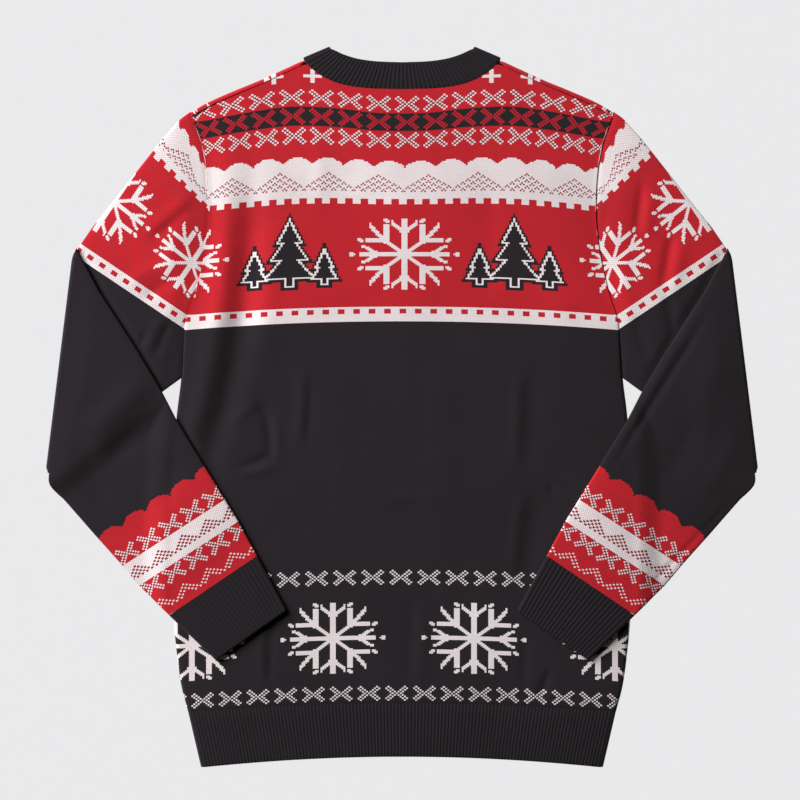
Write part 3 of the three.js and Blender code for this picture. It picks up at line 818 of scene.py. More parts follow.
def sleeve_place(around, rows, side):
    upper = np.clip(rows / UPPER_SHARE, 0, 1)
    fold = np.clip((rows - UPPER_SHARE) / FOLD_SHARE, 0, 1)
    forearm = np.clip((rows - UPPER_SHARE - FOLD_SHARE) / (1 - UPPER_SHARE - FOLD_SHARE), 0, 1)
    in_upper, in_fold = rows <= UPPER_SHARE, (rows > UPPER_SHARE) & (forearm <= 0)

    def point_at(across):
        above = upper_point(upper, across)
        below = forearm_point(forearm, across)
        folded = between(FOLD_TOP, FOLD_FOOT, across)
        return np.where(in_upper[:, None], above, np.where(in_fold[:, None], folded, below))

    spot, height, across = flat_tube(around, SLEEVE, point_at)
    x, y = spot.T
    angle = fold * math.pi
    way = np.array(FOLD_FOOT) - np.array(FOLD_TOP)
    way = way / np.hypot(*way)
    radius = FOLD_RADIUS - height
    start = FOLD_RADIUS + SEAM
    base = lerp(start, carried(x, y), smoothstep(forearm, 0, FOLD_BLEND))
    z_fore = base + SLEEVE - height
    z_fold = FOLD_RADIUS - radius * np.cos(angle)
    ends = np.clip(np.minimum(across / FOLD_TOP_SHARE, (1 - across) / FOLD_FOOT_SHARE), 0, 1)
    out = np.where(in_fold, radius * np.sin(angle), 0) * np.sqrt(1 - (1 - ends) ** 2)
    z = np.where(in_upper, height, np.where(in_fold, z_fold, z_fore))
    top = np.where(in_upper, height, SLEEVE - height) / SLEEVE
    past_armhole = (x - half_width(y)) * ARMHOLE_LEAN
    z = z - np.where(in_upper, top, 0) * seam_dip(past_armhole)
    z = z + top * sleeve_lift(np.clip(across, 0, 1), upper, forearm, in_upper, in_fold, x, y, side)
    above, below = sleeve_cloth_upper(x, y), sleeve_cloth_forearm(x, y)
    below = np.where(in_fold[:, None], lerp(above, below, fold[:, None]), below)
    cloth = np.where(in_upper[:, None], above, below)
    return stacked(x - way[1] * out, y + way[0] * out, z), cloth


CUFF_ROWS = 16
CUFF_LENGTH = 65.0
CUFF_COLUMNS = int(2 * CUFF_RIBS * RIB_COLUMNS / (2 * FLAT_SHARE))


def cuff_place(around, rows):
    thickness = 2 * CUFF_WALL + SLEEVE_HOLLOW
    seam_in, seam_out = FOREARM_INSIDE[-1], FOREARM_OUTSIDE[-1]
    share, drop = rounded_edge(CUFF_LENGTH, rows)
    share = lerp(SEAM / CUFF_LENGTH, 1, share)

    def point_at(across):
        seam = between(seam_out, seam_in, across)
        end = between(CUFF_OUTSIDE_END, CUFF_INSIDE_END, across)
        return lerp(seam, end, share[:, None])

    spot, height, across = flat_tube(around, thickness, point_at)
    x, y = spot.T
    up = np.clip((height - thickness / 2) / (thickness / 2), 0, 1)
    down = np.clip((thickness / 2 - height) / (thickness / 2), 0, 1)
    ribs = np.clip(across, 0, 1) * CUFF_RIBS
    z = carried(x, y) + height + up * (rib(ribs) - UPPER_DROP * drop) + down * UNDER_DROP * drop
    ribs = ribs + np.where(around > 0.5, CUFF_RIBS, 0)
    return stacked(x, y, z), np.stack([ribs, share * CUFF_LENGTH], axis=-1)


# Colours of the yarns and the floor, as they look on a screen
INK = (0.138, 0.116, 0.134)
RIB_INK = (0.13, 0.11, 0.128)
RED = (0.76, 0.122, 0.165)
WHITE = (0.93, 0.88, 0.885)
WINE = (0.56, 0.09, 0.16)
FLOOR = (0.918, 0.918, 0.925)
FLOOR_GLOW = 0.985

# Light and camera
FILL = 0.52  # strength of the even light from all round
KEY_PLACE, KEY_AIM = (-4.1, 2.9, 2.9), (0.0, 0.0, 0.0)
KEY_SIZE, KEY_POWER = 3.2, 620
CAMERA_PLACE = (-2.06 * MM, 7.24 * MM, 2.75)
CAMERA_LENS, CAMERA_SENSOR = 120, 36
FLOOR_SIZE = 6


def linear(colour):
    """A colour given as it looks on a screen, in the linear values that shaders use."""
    parts = [((part + 0.055) / 1.055) ** 2.4 if part > 0.04045 else part / 12.92 for part in colour]
    return (*parts, 1.0)


NODE_COLUMN, NODE_ROW, NODES_DOWN = 170, 150, 12


def add_node(tree, kind):
    """Adds a node and lays it out in columns, in the order in which the nodes are made."""
    node = tree.nodes.new(kind)
    column, row = divmod(len(tree.nodes), NODES_DOWN)
    node.location = (column * NODE_COLUMN, -row * NODE_ROW)
    return node


def feed(tree, value, socket):
    if isinstance(value, Sum):
        tree.links.new(value.socket, socket)
    else:
        socket.default_value = value


class Sum:
    """A number or colour in a node tree. Arithmetic on it is written as on numbers, and adds Math nodes."""

    def __init__(self, tree, socket):
        self.tree = tree
        self.socket = socket

    def math(self, operation, *others):
        node = add_node(self.tree, "ShaderNodeMath")
        node.operation = operation
        for value, socket in zip((self, *others), node.inputs):
            feed(self.tree, value, socket)
        return Sum(self.tree, node.outputs[0])

    def __add__(self, other):
        return self.math("ADD", other)

    def __sub__(self, other):
        return self.math("SUBTRACT", other)

    def __mul__(self, other):
        return self.math("MULTIPLY", other)

    def __truediv__(self, other):
        return self.math("DIVIDE", other)

    def scaled(self, factor, shift):
        return self.math("MULTIPLY_ADD", factor, shift)

    def size(self):
        return self.math("ABSOLUTE")

    def whole(self):
        return self.math("ROUND")

    def most(self, other):
        return self.math("MAXIMUM", other)

    def least(self, other):
        return self.math("MINIMUM", other)

    def above(self, other):
        return self.math("GREATER_THAN", other)

    def below(self, other):
        return self.math("LESS_THAN", other)

    def near(self, other, apart=0.5):
        return self.math("COMPARE", other, apart)

    def inside(self, low, high):
        return self.near((low + high) / 2, (high - low) / 2)

    def opposite(self):
        return self.scaled(-1.0, 1.0)

    def repeated(self, half_pitch):
        """The same number, starting again at each pitch, from minus to plus half of it."""
        return self.math("WRAP", half_pitch, half_pitch * -1.0)


def either(*masks):
    """1 where any of the masks is."""
    total = masks[0]
    for mask in masks[1:]:
        total = total.most(mask)
    return total


def mixed(mask, low, high):
    """The colour low where the mask is 0 and high where it is 1."""
    tree = mask.tree
    node = add_node(tree, "ShaderNodeMix")
    node.data_type = "RGBA"
    feed(tree, mask, node.inputs["Factor"])
    feed(tree, low, node.inputs[6])
    feed(tree, high, node.inputs[7])
    return Sum(tree, node.outputs[2])


def node_group(name, inputs, outputs, build):
    """A shader node group. build turns its inputs, given by name and kind, into its outputs."""
    tree = bpy.data.node_groups.new(name, "ShaderNodeTree")
    for label, kind in inputs:
        tree.interface.new_socket(label, in_out="INPUT", socket_type="NodeSocket" + kind)
    for label, kind in outputs:
        tree.interface.new_socket(label, in_out="OUTPUT", socket_type="NodeSocket" + kind)
    start = tree.nodes.new("NodeGroupInput")
    results = build(*[Sum(tree, start.outputs[label]) for label, _ in inputs])
    end = add_node(tree, "NodeGroupOutput")
    for (label, _), result in zip(outputs, results):
        tree.links.new(result.socket, end.inputs[label])
    return tree


def use(group, tree, **values):
    """Places a group in a tree. Underlines in the names of values stand for spaces."""
    node = add_node(tree, "ShaderNodeGroup")
    node.node_tree = group
    for name, value in values.items():
        feed(tree, value, node.inputs[name.replace("_", " ")])
    return [Sum(tree, socket) for socket in node.outputs]


# Motifs, charted in stitches. Across and Up are in the cloth's millimetres.

CHART = [(name, "Float") for name in ("Across", "Up", "Half pitch", "Stitch", "Course")]


def cross_row(across, up, half_pitch, stitch, course):
    """A row of crosses, each arm two lines of light stitches with dark ones between."""
    place = across.repeated(half_pitch).size() / stitch
    y = (up.size() / course).whole()
    apart = place.whole() - y
    arm = y.below(3.5)
    light = either(apart.near(0.0) * y.below(4.5), apart.near(2.0) * arm)
    return light, (place - y).near(1.0, 0.64) * arm


def loose_dot(x, y):
    """A dot of a few stitches past the end of a snowflake's arm."""
    return either(x.near(-0.5, 0.9) * y.near(-0.5, 0.9), x.near(0.7, 0.8) * y.near(0.6, 0.9))


def snowflake(across, up, half_pitch, stitch, course):
    """A snowflake of eight arms, with branches and loose dots at their ends."""
    x = (across.repeated(half_pitch).size() / stitch).whole()
    y = (up.size() / course).whole()
    return [
        either(
            x.below(1.5) * y.below(25.5),
            y.below(1.5) * x.below(22.5),
            (x + y).below(5.5),
            (x - y).near(0.0, 1.5) * x.below(10.5),
            (y - x * 1.45).near(-4.5, 2.0) * x.inside(9.5, 17.5),
            x.near(9.0, 1.5) * y.inside(9.5, 21.5),
            y.near(10.0, 1.5) * x.inside(8.5, 19.5),
            (y - x * 1.3).near(14.8, 1.6) * x.below(6.5),
            (y - x * 0.76).near(-9.8, 1.2) * y.below(6.5) * x.inside(12.5, 21.0),
            loose_dot(x - 9.0, y - 24.0),
            loose_dot(x - 22.0, y - 10.0),
            loose_dot(x - 26.0, y),
        )
    ]


def wave_edge(across, height, half_pitch, stitch, course):
    """How far a scalloped edge stands up: round crests and pointed troughs, stepped by stitches."""
    place = (across / stitch).whole() * stitch / half_pitch * (math.pi / 2)
    rise = place.math("SINE").size().math("POWER", 0.75) * height
    return [(rise / course).whole() * course]


def caret_triangles(across, down, half_pitch, stitch, course):
    """Triangles filled with staggered carets, from their tips downwards."""
    x = (across.repeated(half_pitch).size() / stitch).whole()
    y = (down / course).whole()
    row = y.math("FLOORED_MODULO", 4.0)
    wanted = row + row.above(1.5) - row.above(2.5) * 2.0
    caret = x.math("PINGPONG", 3.0).near(wanted)
    return [caret * (x - y * 1.5).below(1.9) * y.inside(-0.5, 11.5)]


def dotted_triangles(across, down, half_pitch, stitch, course):
    """Triangles of staggered dots: all of them, and those along the two upper sides."""
    x_place = across.repeated(half_pitch).size() / stitch
    y_place = down / course
    x, y = x_place.whole(), y_place.whole()
    spread = (x_place - x).size().most((y_place - y).size())
    depth = y - x
    filled = (x + y).math("FLOORED_MODULO", 2.0).below(0.5) * depth.above(-0.5) * y.inside(-0.5, 5.5)
    return filled * spread.below(0.46), filled * spread.below(0.36) * depth.below(2.5)


# Fir trees: for each tier its tip row, its lowest row and half its width there, in courses and stitches
BIG_FIR = [(0, 13, 5.0), (9, 25, 8.2), (20, 38, 11.0)]
SMALL_FIR = [(21, 31, 3.4), (27, 39, 5.2)]
BIG_TRUNK, SMALL_TRUNK = (44, 1.6), (43, 1.0)
FIR_APART = 17.5
TALL = 0.7  # a course's height against a stitch's width
FIR_EDGE, FIR_OUTLINE = 1.25, 2.6


def fir_depth(x, y, tiers, trunk):
    """How many stitches deep a place lies inside a fir, below zero outside it."""
    foot, half = trunk
    depth = y.scaled(-TALL, foot * TALL).least(x.scaled(-1.0, half))
    depth = depth.least(y.scaled(TALL, -tiers[-1][0] * TALL))
    for tip, low, width in tiers:
        slope = width / (low - tip)
        side = y.scaled(slope, -slope * tip) - x
        depth = depth.most(side.least(y.scaled(-TALL, low * TALL)))
    return depth


def fir_group(across, down, half_pitch, stitch, course):
    """A tall fir between two small ones: body, white edge and outline."""
    x = (across.repeated(half_pitch).size() / stitch).whole()
    y = (down / course).whole()
    small = fir_depth((x - FIR_APART).size(), y, SMALL_FIR, SMALL_TRUNK)
    depth = fir_depth(x, y, BIG_FIR, BIG_TRUNK).most(small)
    inside, edge = depth.above(-0.01), depth.above(-FIR_EDGE)
    return edge - inside, depth.above(-FIR_OUTLINE) - edge + inside


# The body's chart: heights up the cloth in millimetres

STITCH, COURSE = 2.06, 1.43
CROSS_STITCH, CROSS_COURSE = 2.24, 1.8
PLUS_ROW, PLUS_HALF, PLUS_SHIFT, PLUS_START = 334.5, 19.05, 91.1, 80.0
PLUS_UPRIGHT, PLUS_LEVEL = (2.2, 7.0), (9.3, 1.5)  # half the width and height of each arm
FIRST_CROSSES, BAND_CROSSES, SECOND_CROSSES = 312.5, 293.9, 275.3
CROSS_SHIFT, CROSS_HALF = 5.2, 14.6
DARK_TOP, DARK_FOOT = 302.9, 284.9
WAVE_FOOT, WAVE_HEIGHT, WAVE_HALF, WAVE_SHIFT = 246.9, 7.2, 15.9, 3.0
CARET_TIP, CARET_HALF, CARET_SHIFT = 239.4, 25.7, -24.2
CARET_STITCH, CARET_COURSE = 1.75, 1.5
TOOTH_TOP, TOOTH_FOOT, TOOTH_HALF, TOOTH_SHIFT = 215.0, 209.6, 7.93, 0.9
CHEST_FLAKES, CHEST_FLAKE_HALF, CHEST_FLAKE_SHIFT = 158.3, 118.5, 2.5
FIR_TIP, FIR_PLACE = 191.0, 115.9
STRIPE_TOP, STRIPE_FOOT = 104.3, 89.2
DASH_TOP, DASH_FOOT, DASH_WIDTH = 102.1, 97.2, 3.45
LOW_CROSSES, LOW_CROSS_HALF, LOW_CROSS_SHIFT = -174.1, 14.45, -1.2
LOW_CROSS_STITCH, LOW_CROSS_COURSE = 2.1, 1.7
LOW_FLAKE_STITCH = 1.96
LOW_FLAKES, LOW_FLAKE_HALF, LOW_FLAKE_SHIFT = -236.0, 72.6, 72.6 + 1.5
HEM_CROSSES, HEM_CROSS_HALF, HEM_CROSS_SHIFT = -293.4, 14.27, -5.5
FAR = 1000.0  # a half pitch past the garment's sides, for a motif that stands once


def body_chart(u, v, motifs, ink, red, white, wine):
    tree = u.tree

    def row(group, shift, height, half_pitch, stitch=STITCH, course=COURSE, down=False):
        up = v.scaled(-1.0, height) if down else v - height
        across = u - shift
        values = {"Half_pitch": half_pitch, "Stitch": stitch, "Course": course}
        return use(motifs[group], tree, Across=across, Up=up, **values)

    first, second, band = [
        row("cross row", CROSS_SHIFT, height, CROSS_HALF, CROSS_STITCH, CROSS_COURSE)
        for height in (FIRST_CROSSES, SECOND_CROSSES, BAND_CROSSES)
    ]
    low, hem = [
        row("cross row", shift, height, half, LOW_CROSS_STITCH, LOW_CROSS_COURSE)
        for height, shift, half in (
            (LOW_CROSSES, LOW_CROSS_SHIFT, LOW_CROSS_HALF),
            (HEM_CROSSES, HEM_CROSS_SHIFT, HEM_CROSS_HALF),
        )
    ]
    (chest_flakes,) = row("snowflake", CHEST_FLAKE_SHIFT, CHEST_FLAKES, CHEST_FLAKE_HALF)
    (low_flakes,) = row("snowflake", LOW_FLAKE_SHIFT, LOW_FLAKES, LOW_FLAKE_HALF, LOW_FLAKE_STITCH)
    (carets,) = row("caret triangles", CARET_SHIFT, CARET_TIP, CARET_HALF, CARET_STITCH, CARET_COURSE, True)
    cells = {"Stitch": STITCH, "Course": COURSE}
    (wave,) = use(
        motifs["wave edge"], tree, Across=u - WAVE_SHIFT, Up=WAVE_HEIGHT, Half_pitch=WAVE_HALF, **cells
    )
    across, down = u.size() - FIR_PLACE, v.scaled(-1.0, FIR_TIP)
    fir_edge, fir_body = use(motifs["fir group"], tree, Across=across, Up=down, Half_pitch=FAR, **cells)
    tooth = (u - TOOTH_SHIFT).repeated(TOOTH_HALF).size()
    teeth = tooth.above(TOOTH_HALF / 2) * (TOOTH_TOP - TOOTH_FOOT)
    yoke = (v - wave).below(WAVE_FOOT) * (v - teeth).above(TOOTH_FOOT)
    dash = tooth.below(DASH_WIDTH) * v.inside(DASH_FOOT, DASH_TOP)
    plus_x, plus_y = (u.size() - PLUS_SHIFT).repeated(PLUS_HALF).size(), (v - PLUS_ROW).size()
    arms = [plus_x.below(half) * plus_y.below(height) for half, height in (PLUS_UPRIGHT, PLUS_LEVEL)]
    plus = either(*arms) * u.size().above(PLUS_START)
    dark_band = v.inside(DARK_FOOT, DARK_TOP)
    red_mask = either(v.above(STRIPE_FOOT) * dark_band.opposite(), band[0])
    crosses, flakes = either(first[0], second[0], low[0], hem[0]), either(chest_flakes, low_flakes)
    white_mask = either(crosses, flakes, plus, yoke, v.inside(STRIPE_FOOT, STRIPE_TOP), fir_edge)
    wine_mask = either(first[1], second[1], band[1], carets)
    colour = mixed(red_mask, ink, red)
    colour = mixed(white_mask, colour, white)
    colour = mixed(wine_mask, colour, wine)
    colour = mixed(either(fir_body, low[1], hem[1]), colour, ink)
    return [mixed(dash, colour, red)]


# The sleeve's chart: lengths down the cloth from the armhole, in millimetres

SLEEVE_WAVE_HALF, SLEEVE_WAVE_SHIFT, SLEEVE_WAVE_HEIGHT = 9.3, 4.0, 6.0
SLEEVE_CARET_TIP, SLEEVE_CARET_SHIFT = 14.0, 250.0
SLEEVE_TOOTH_TOP, SLEEVE_TOOTH_FOOT, SLEEVE_TOOTH_HALF, SLEEVE_TOOTH_SHIFT = 42.0, 47.4, 7.4, 3.0
SLEEVE_FLAKES, SLEEVE_FLAKE_HALF, SLEEVE_FLAKE_SHIFT = 108.0, 50.8, 314.8
SLEEVE_STRIPE_TOP, SLEEVE_STRIPE_FOOT = 162.8, 176.2
SLEEVE_DASH_TOP, SLEEVE_DASH_FOOT = 166.6, 171.4
FOREARM_WAVE, FOREARM_WAVE_HEIGHT, FOREARM_WAVE_HALF, FOREARM_WAVE_SHIFT = 463.4, 7.8, 14.75, -130.0
FOREARM_FIRST, FOREARM_SECOND = 488.0, 530.8
FOREARM_CROSS_HALF, FOREARM_FIRST_SHIFT, FOREARM_SECOND_SHIFT = 13.4, -119.5, -115.8
FOREARM_STRIPE_TOP, FOREARM_STRIPE_FOOT = 496.7, 523.0
FOREARM_TRIANGLE, FOREARM_TRIANGLE_SHIFT = 504.0, -113.0
FOREARM_CHAIN, FOREARM_CHAIN_SHIFT = 546.5, -110.0
# Motifs' cells on the sleeve, and half the pitch of those in triangles
SLEEVE_CROSS_CELL, SLEEVE_FLAKE_CELL = (2.05, 1.85), (1.7, 1.42)
SLEEVE_CARETS = (24.0, 1.75, 1.75)
TRIANGLES = (14.6, 2.9, 2.15)


def sleeve_chart(u, v, motifs, ink, red, white, wine):
    tree = u.tree

    def row(group, shift, place, half_pitch, stitch=STITCH, course=COURSE):
        values = {"Half_pitch": half_pitch, "Stitch": stitch, "Course": course}
        return use(motifs[group], tree, Across=u - shift, Up=v - place, **values)

    first, second = [
        row("cross row", shift, place, FOREARM_CROSS_HALF, *SLEEVE_CROSS_CELL)
        for shift, place in ((FOREARM_FIRST_SHIFT, FOREARM_FIRST), (FOREARM_SECOND_SHIFT, FOREARM_SECOND))
    ]
    (flakes,) = row("snowflake", SLEEVE_FLAKE_SHIFT, SLEEVE_FLAKES, SLEEVE_FLAKE_HALF, *SLEEVE_FLAKE_CELL)
    (carets,) = row("caret triangles", SLEEVE_CARET_SHIFT, SLEEVE_CARET_TIP, *SLEEVE_CARETS)
    solid, _ = row("dotted triangles", FOREARM_TRIANGLE_SHIFT, FOREARM_TRIANGLE, *TRIANGLES)
    _, chain = row("dotted triangles", FOREARM_CHAIN_SHIFT, FOREARM_CHAIN, *TRIANGLES)
    cells = {"Stitch": STITCH, "Course": COURSE}
    cap_wave, cuff_wave = [
        use(motifs["wave edge"], tree, Across=u - shift, Up=height, Half_pitch=half_pitch, **cells)[0]
        for shift, height, half_pitch in (
            (SLEEVE_WAVE_SHIFT, SLEEVE_WAVE_HEIGHT, SLEEVE_WAVE_HALF),
            (FOREARM_WAVE_SHIFT, FOREARM_WAVE_HEIGHT, FOREARM_WAVE_HALF),
        )
    ]
    tooth = (u - SLEEVE_TOOTH_SHIFT).repeated(SLEEVE_TOOTH_HALF).size()
    tooth_rise = tooth.above(SLEEVE_TOOTH_HALF / 2) * (SLEEVE_TOOTH_FOOT - SLEEVE_TOOTH_TOP)
    yoke = (v + cap_wave).above(SLEEVE_WAVE_HEIGHT) * (v + tooth_rise).below(SLEEVE_TOOTH_FOOT)
    stripes = either(
        v.inside(SLEEVE_STRIPE_TOP, SLEEVE_STRIPE_FOOT), v.inside(FOREARM_STRIPE_TOP, FOREARM_STRIPE_FOOT)
    )
    dash = tooth.below(DASH_WIDTH) * v.inside(SLEEVE_DASH_TOP, SLEEVE_DASH_FOOT)
    red_mask = either(v.below(SLEEVE_STRIPE_FOOT), (v + cuff_wave).above(FOREARM_WAVE))
    colour = mixed(red_mask, ink, red)
    colour = mixed(either(first[0], second[0], flakes, chain, yoke, stripes), colour, white)
    colour = mixed(either(first[1], second[1], carets, solid), colour, wine)
    return [mixed(dash, colour, red)]


# Surface of the knit


def knit_relief(u, v):
    """The height of plain knitting: two slanting legs to a stitch."""
    x = (u / STITCH).math("FRACT") - 0.5
    leg = (x.size() * 2.0 * math.pi).math("SINE")
    slant = (v / COURSE + x.size() * 1.3) * (2 * math.pi)
    return [(slant.math("SINE").scaled(0.32, 0.68)) * leg.scaled(0.75, 0.25)]


# Clouds of tone: how fine they are across and along the cloth, and how strong
TONE_CLOUDS = [(0.55, 0.75, 0.22), (0.05, 0.6, 0.1), (0.012, 0.012, 0.24)]
TONE_DETAIL = 2.0


def yarn_tone(u, v):
    """Small changes of tone, from stitch to stitch, along the courses and in clouds."""
    tree = u.tree

    def noise(scale_u, scale_v):
        place = add_node(tree, "ShaderNodeCombineXYZ")
        feed(tree, u * scale_u, place.inputs[0])
        feed(tree, v * scale_v, place.inputs[1])
        cloud = add_node(tree, "ShaderNodeTexNoise")
        cloud.noise_dimensions = "2D"
        cloud.inputs["Scale"].default_value = 1.0
        cloud.inputs["Detail"].default_value = TONE_DETAIL
        tree.links.new(place.outputs[0], cloud.inputs["Vector"])
        return Sum(tree, cloud.outputs["Fac"])

    fine, course, cloudy = [(noise(*sizes) - 0.5) * strength for *sizes, strength in TONE_CLOUDS]
    stitch = ((u / BIRDSEYE).math("FLOOR") + (v / COURSE).math("FLOOR")).math("FLOORED_MODULO", 2.0)
    return [fine + course + cloudy, stitch]


def toned(colour, tone, strength):
    """A colour made lighter or darker by a tone round zero."""
    tree = tone.tree
    node = add_node(tree, "ShaderNodeHueSaturation")
    feed(tree, tone.scaled(strength, 1.0), node.inputs["Value"])
    feed(tree, colour, node.inputs["Color"])
    return Sum(tree, node.outputs[0])


RELIEF, RIB_RELIEF = 0.35, 0.5  # depths of the stitches and of the ribs' shading
RIB_PITCH, RIB_COURSE = 3.6, 1.5
GROOVE_SHADE = 0.8  # painted shade: how much darker the yarn is coloured in the grooves between two ribs
BIRDSEYE = 1.5  # width of a stitch in the ground's fine pattern
BODY_BIRDSEYE, SLEEVE_BIRDSEYE = 0.06, 0.3  # how far the ground's tone changes from stitch to stitch


def cloth_material(name):
    material = bpy.data.materials.new(name)
    material.use_nodes = True
    tree = material.node_tree
    shader = tree.nodes["Principled BSDF"]
    shader.inputs["Roughness"].default_value = 0.9
    shader.inputs["Specular IOR Level"].default_value = 0.18
    shader.inputs["Sheen Weight"].default_value = 0.12
    shader.inputs["Sheen Roughness"].default_value = 0.5
    place = add_node(tree, "ShaderNodeUVMap")
    place.uv_map = CLOTH_MAP
    parts = add_node(tree, "ShaderNodeSeparateXYZ")
    tree.links.new(place.outputs[0], parts.inputs[0])
    return material, tree, shader, Sum(tree, parts.outputs[0]), Sum(tree, parts.outputs[1])


def raise_surface(tree, shader, height, strength, distance):
    bump = add_node(tree, "ShaderNodeBump")
    bump.inputs["Strength"].default_value = strength
    bump.inputs["Distance"].default_value = distance
    tree.links.new(height.socket, bump.inputs["Height"])
    tree.links.new(bump.outputs[0], shader.inputs["Normal"])


FLAT = [("U", "Float"), ("V", "Float")]
YARNS = [(name, "Color") for name in ("Ink", "Red", "White", "Wine")]

made_groups = {}


def shared_groups():
    """The node groups, made when the first material needs them."""
    if made_groups:
        return made_groups
    mask = [("Mask", "Float")]
    two = [("Light", "Float"), ("Dark", "Float")]
    dots = [("All", "Float"), ("Sides", "Float")]
    motifs = {
        "cross row": node_group("Cross row", CHART, two, cross_row),
        "snowflake": node_group("Snowflake", CHART, mask, snowflake),
        "wave edge": node_group("Wave edge", CHART, [("Rise", "Float")], wave_edge),
        "caret triangles": node_group("Caret triangles", CHART, mask, caret_triangles),
        "dotted triangles": node_group("Dotted triangles", CHART, dots, dotted_triangles),
        "fir group": node_group("Fir group", CHART, [("Edge", "Float"), ("Body", "Float")], fir_group),
    }
    charts = {
        "body": lambda u, v, *yarns: body_chart(u, v, motifs, *yarns),
        "sleeve": lambda u, v, *yarns: sleeve_chart(u, v, motifs, *yarns),
    }
    for name, chart in charts.items():
        made_groups[name] = node_group(name.title() + " chart", FLAT + YARNS, [("Colour", "Color")], chart)
    made_groups["relief"] = node_group("Knit relief", FLAT, [("Height", "Float")], knit_relief)
    made_groups["tone"] = node_group("Yarn tone", FLAT, [("Tone", "Float"), ("Stitch", "Float")], yarn_tone)
    return made_groups


def knit_material(groups, chart, yarns, birdseye, relief):
    material, tree, shader, u, v = cloth_material(chart + " knit")
    ink, red, white, wine = yarns.charcoal, yarns.red, yarns.white, yarns.wine
    (colour,) = use(groups[chart], tree, U=u, V=v, Ink=ink, Red=red, White=white, Wine=wine)
    tone, stitch = use(groups["tone"], tree, U=u, V=v)
    colour = toned(colour, tone + (stitch - 0.5) * birdseye, 1.0)
    tree.links.new(colour.socket, shader.inputs["Base Color"])
    (height,) = use(groups["relief"], tree, U=u, V=v)
    raise_surface(tree, shader, height, 0.35, relief)
    return material


def rib_material(groups, name, yarn, relief):
    material, tree, shader, u, v = cloth_material(name)
    crest = (u * (2 * math.pi)).math("COSINE").scaled(-0.5, 0.5)
    tone, _ = use(groups["tone"], tree, U=u * RIB_PITCH, V=v)
    # painted shade in the grooves: the yarn is coloured darker away from each rib's crest
    colour = mixed(crest.math("POWER", 0.6), darker(yarn, GROOVE_SHADE), darker(yarn, 1.0))
    colour = toned(colour, tone, 1.0)
    tree.links.new(colour.socket, shader.inputs["Base Color"])
    stitches = (v / RIB_COURSE * (2 * math.pi)).math("SINE") * crest
    raise_surface(tree, shader, crest + stitches * 0.15, 0.4, relief)
    return material


def darker(yarn, share):
    return tuple(part * share for part in yarn[:3]) + (1.0,)


def floor_material():
    """Plain paper, lit so evenly that no shadow shows on it."""
    material = bpy.data.materials.new("paper floor")
    material.use_nodes = True
    tree = material.node_tree
    shader = tree.nodes["Principled BSDF"]
    shader.inputs["Base Color"].default_value = (0.01, 0.01, 0.01, 1.0)
    shader.inputs["Roughness"].default_value = 1.0
    shader.inputs["Specular IOR Level"].default_value = 0.0
    grain = add_node(tree, "ShaderNodeTexNoise")
    grain.inputs["Scale"].default_value = 300.0
    tone = Sum(tree, grain.outputs["Fac"]).scaled(0.01, -0.005)
    colour = toned(linear(FLOOR), tone, 1.0)
    tree.links.new(colour.socket, shader.inputs["Emission Color"])
    shader.inputs["Emission Strength"].default_value = FLOOR_GLOW
    return material


# Sizes and colours that the sidebar shows

WALL_LIMITS = {"min": 0.0005, "max": 0.003, "unit": "LENGTH"}
RELIEF_LIMITS = {"min": 0, "max": 0.001, "unit": "LENGTH"}
YARN_LIMITS = {"size": 4, "min": 0, "max": 1, "subtype": "COLOR"}


class SweaterSizes(bpy.types.PropertyGroup):
    cloth_wall: bpy.props.FloatProperty(
        name="Cloth", description="Thickness of the plain knit", default=CLOTH * MM, **WALL_LIMITS
    )
    rib_wall: bpy.props.FloatProperty(
        name="Rib", description="Thickness of the hem's rib", default=HEM_WALL * MM, **WALL_LIMITS
    )
    cuff_wall: bpy.props.FloatProperty(
        name="Cuff", description="Thickness of the cuffs' rib", default=CUFF_WALL * MM, **WALL_LIMITS
    )
    knit_relief: bpy.props.FloatProperty(
        name="Knit relief", description="Depth of the stitches", default=RELIEF * MM, **RELIEF_LIMITS
    )
    rib_relief: bpy.props.FloatProperty(
        name="Rib relief", description="Depth of the ribs' shading", default=RIB_RELIEF * MM, **RELIEF_LIMITS
    )


class SweaterYarns(bpy.types.PropertyGroup):
    charcoal: bpy.props.FloatVectorProperty(
        name="Charcoal", description="Yarn of the ground", default=linear(INK), **YARN_LIMITS
    )
    red: bpy.props.FloatVectorProperty(
        name="Red", description="Yarn of the yoke and cuff bands", default=linear(RED), **YARN_LIMITS
    )
    white: bpy.props.FloatVectorProperty(
        name="White", description="Yarn of the snowflakes", default=linear(WHITE), **YARN_LIMITS
    )
    wine: bpy.props.FloatVectorProperty(
        name="Wine", description="Yarn of the small dots", default=linear(WINE), **YARN_LIMITS
    )
    rib: bpy.props.FloatVectorProperty(
        name="Rib", description="Yarn of the ribs", default=linear(RIB_INK), **YARN_LIMITS
    )


# Building the pieces

SIDES_MADE = (("right", False), ("left", True))  # and whether a side mirrors the tables


def shared(name, make):
    """A material, made by the first piece that needs it."""
    return bpy.data.materials.get(name) or make()


def knit(context, chart, birdseye):
    sizes, yarns = context.scene.sweater_sizes, context.scene.sweater_yarns
    name = chart + " knit"
    return shared(name, lambda: knit_material(shared_groups(), chart, yarns, birdseye, sizes.knit_relief))


def rib_knit(context):
    sizes, yarns = context.scene.sweater_sizes, context.scene.sweater_yarns
    return shared("rib knit", lambda: rib_material(shared_groups(), "rib knit", yarns.rib, sizes.rib_relief))


def make_back_panel(context):
    piece = cloth_grid("back_panel_knit", PANEL_COLUMNS, PANEL_ROWS, back_panel_place)
    give_wall(piece, context.scene.sweater_sizes.cloth_wall)
    finish(piece, knit(context, "body", BODY_BIRDSEYE), ["back_panel"])


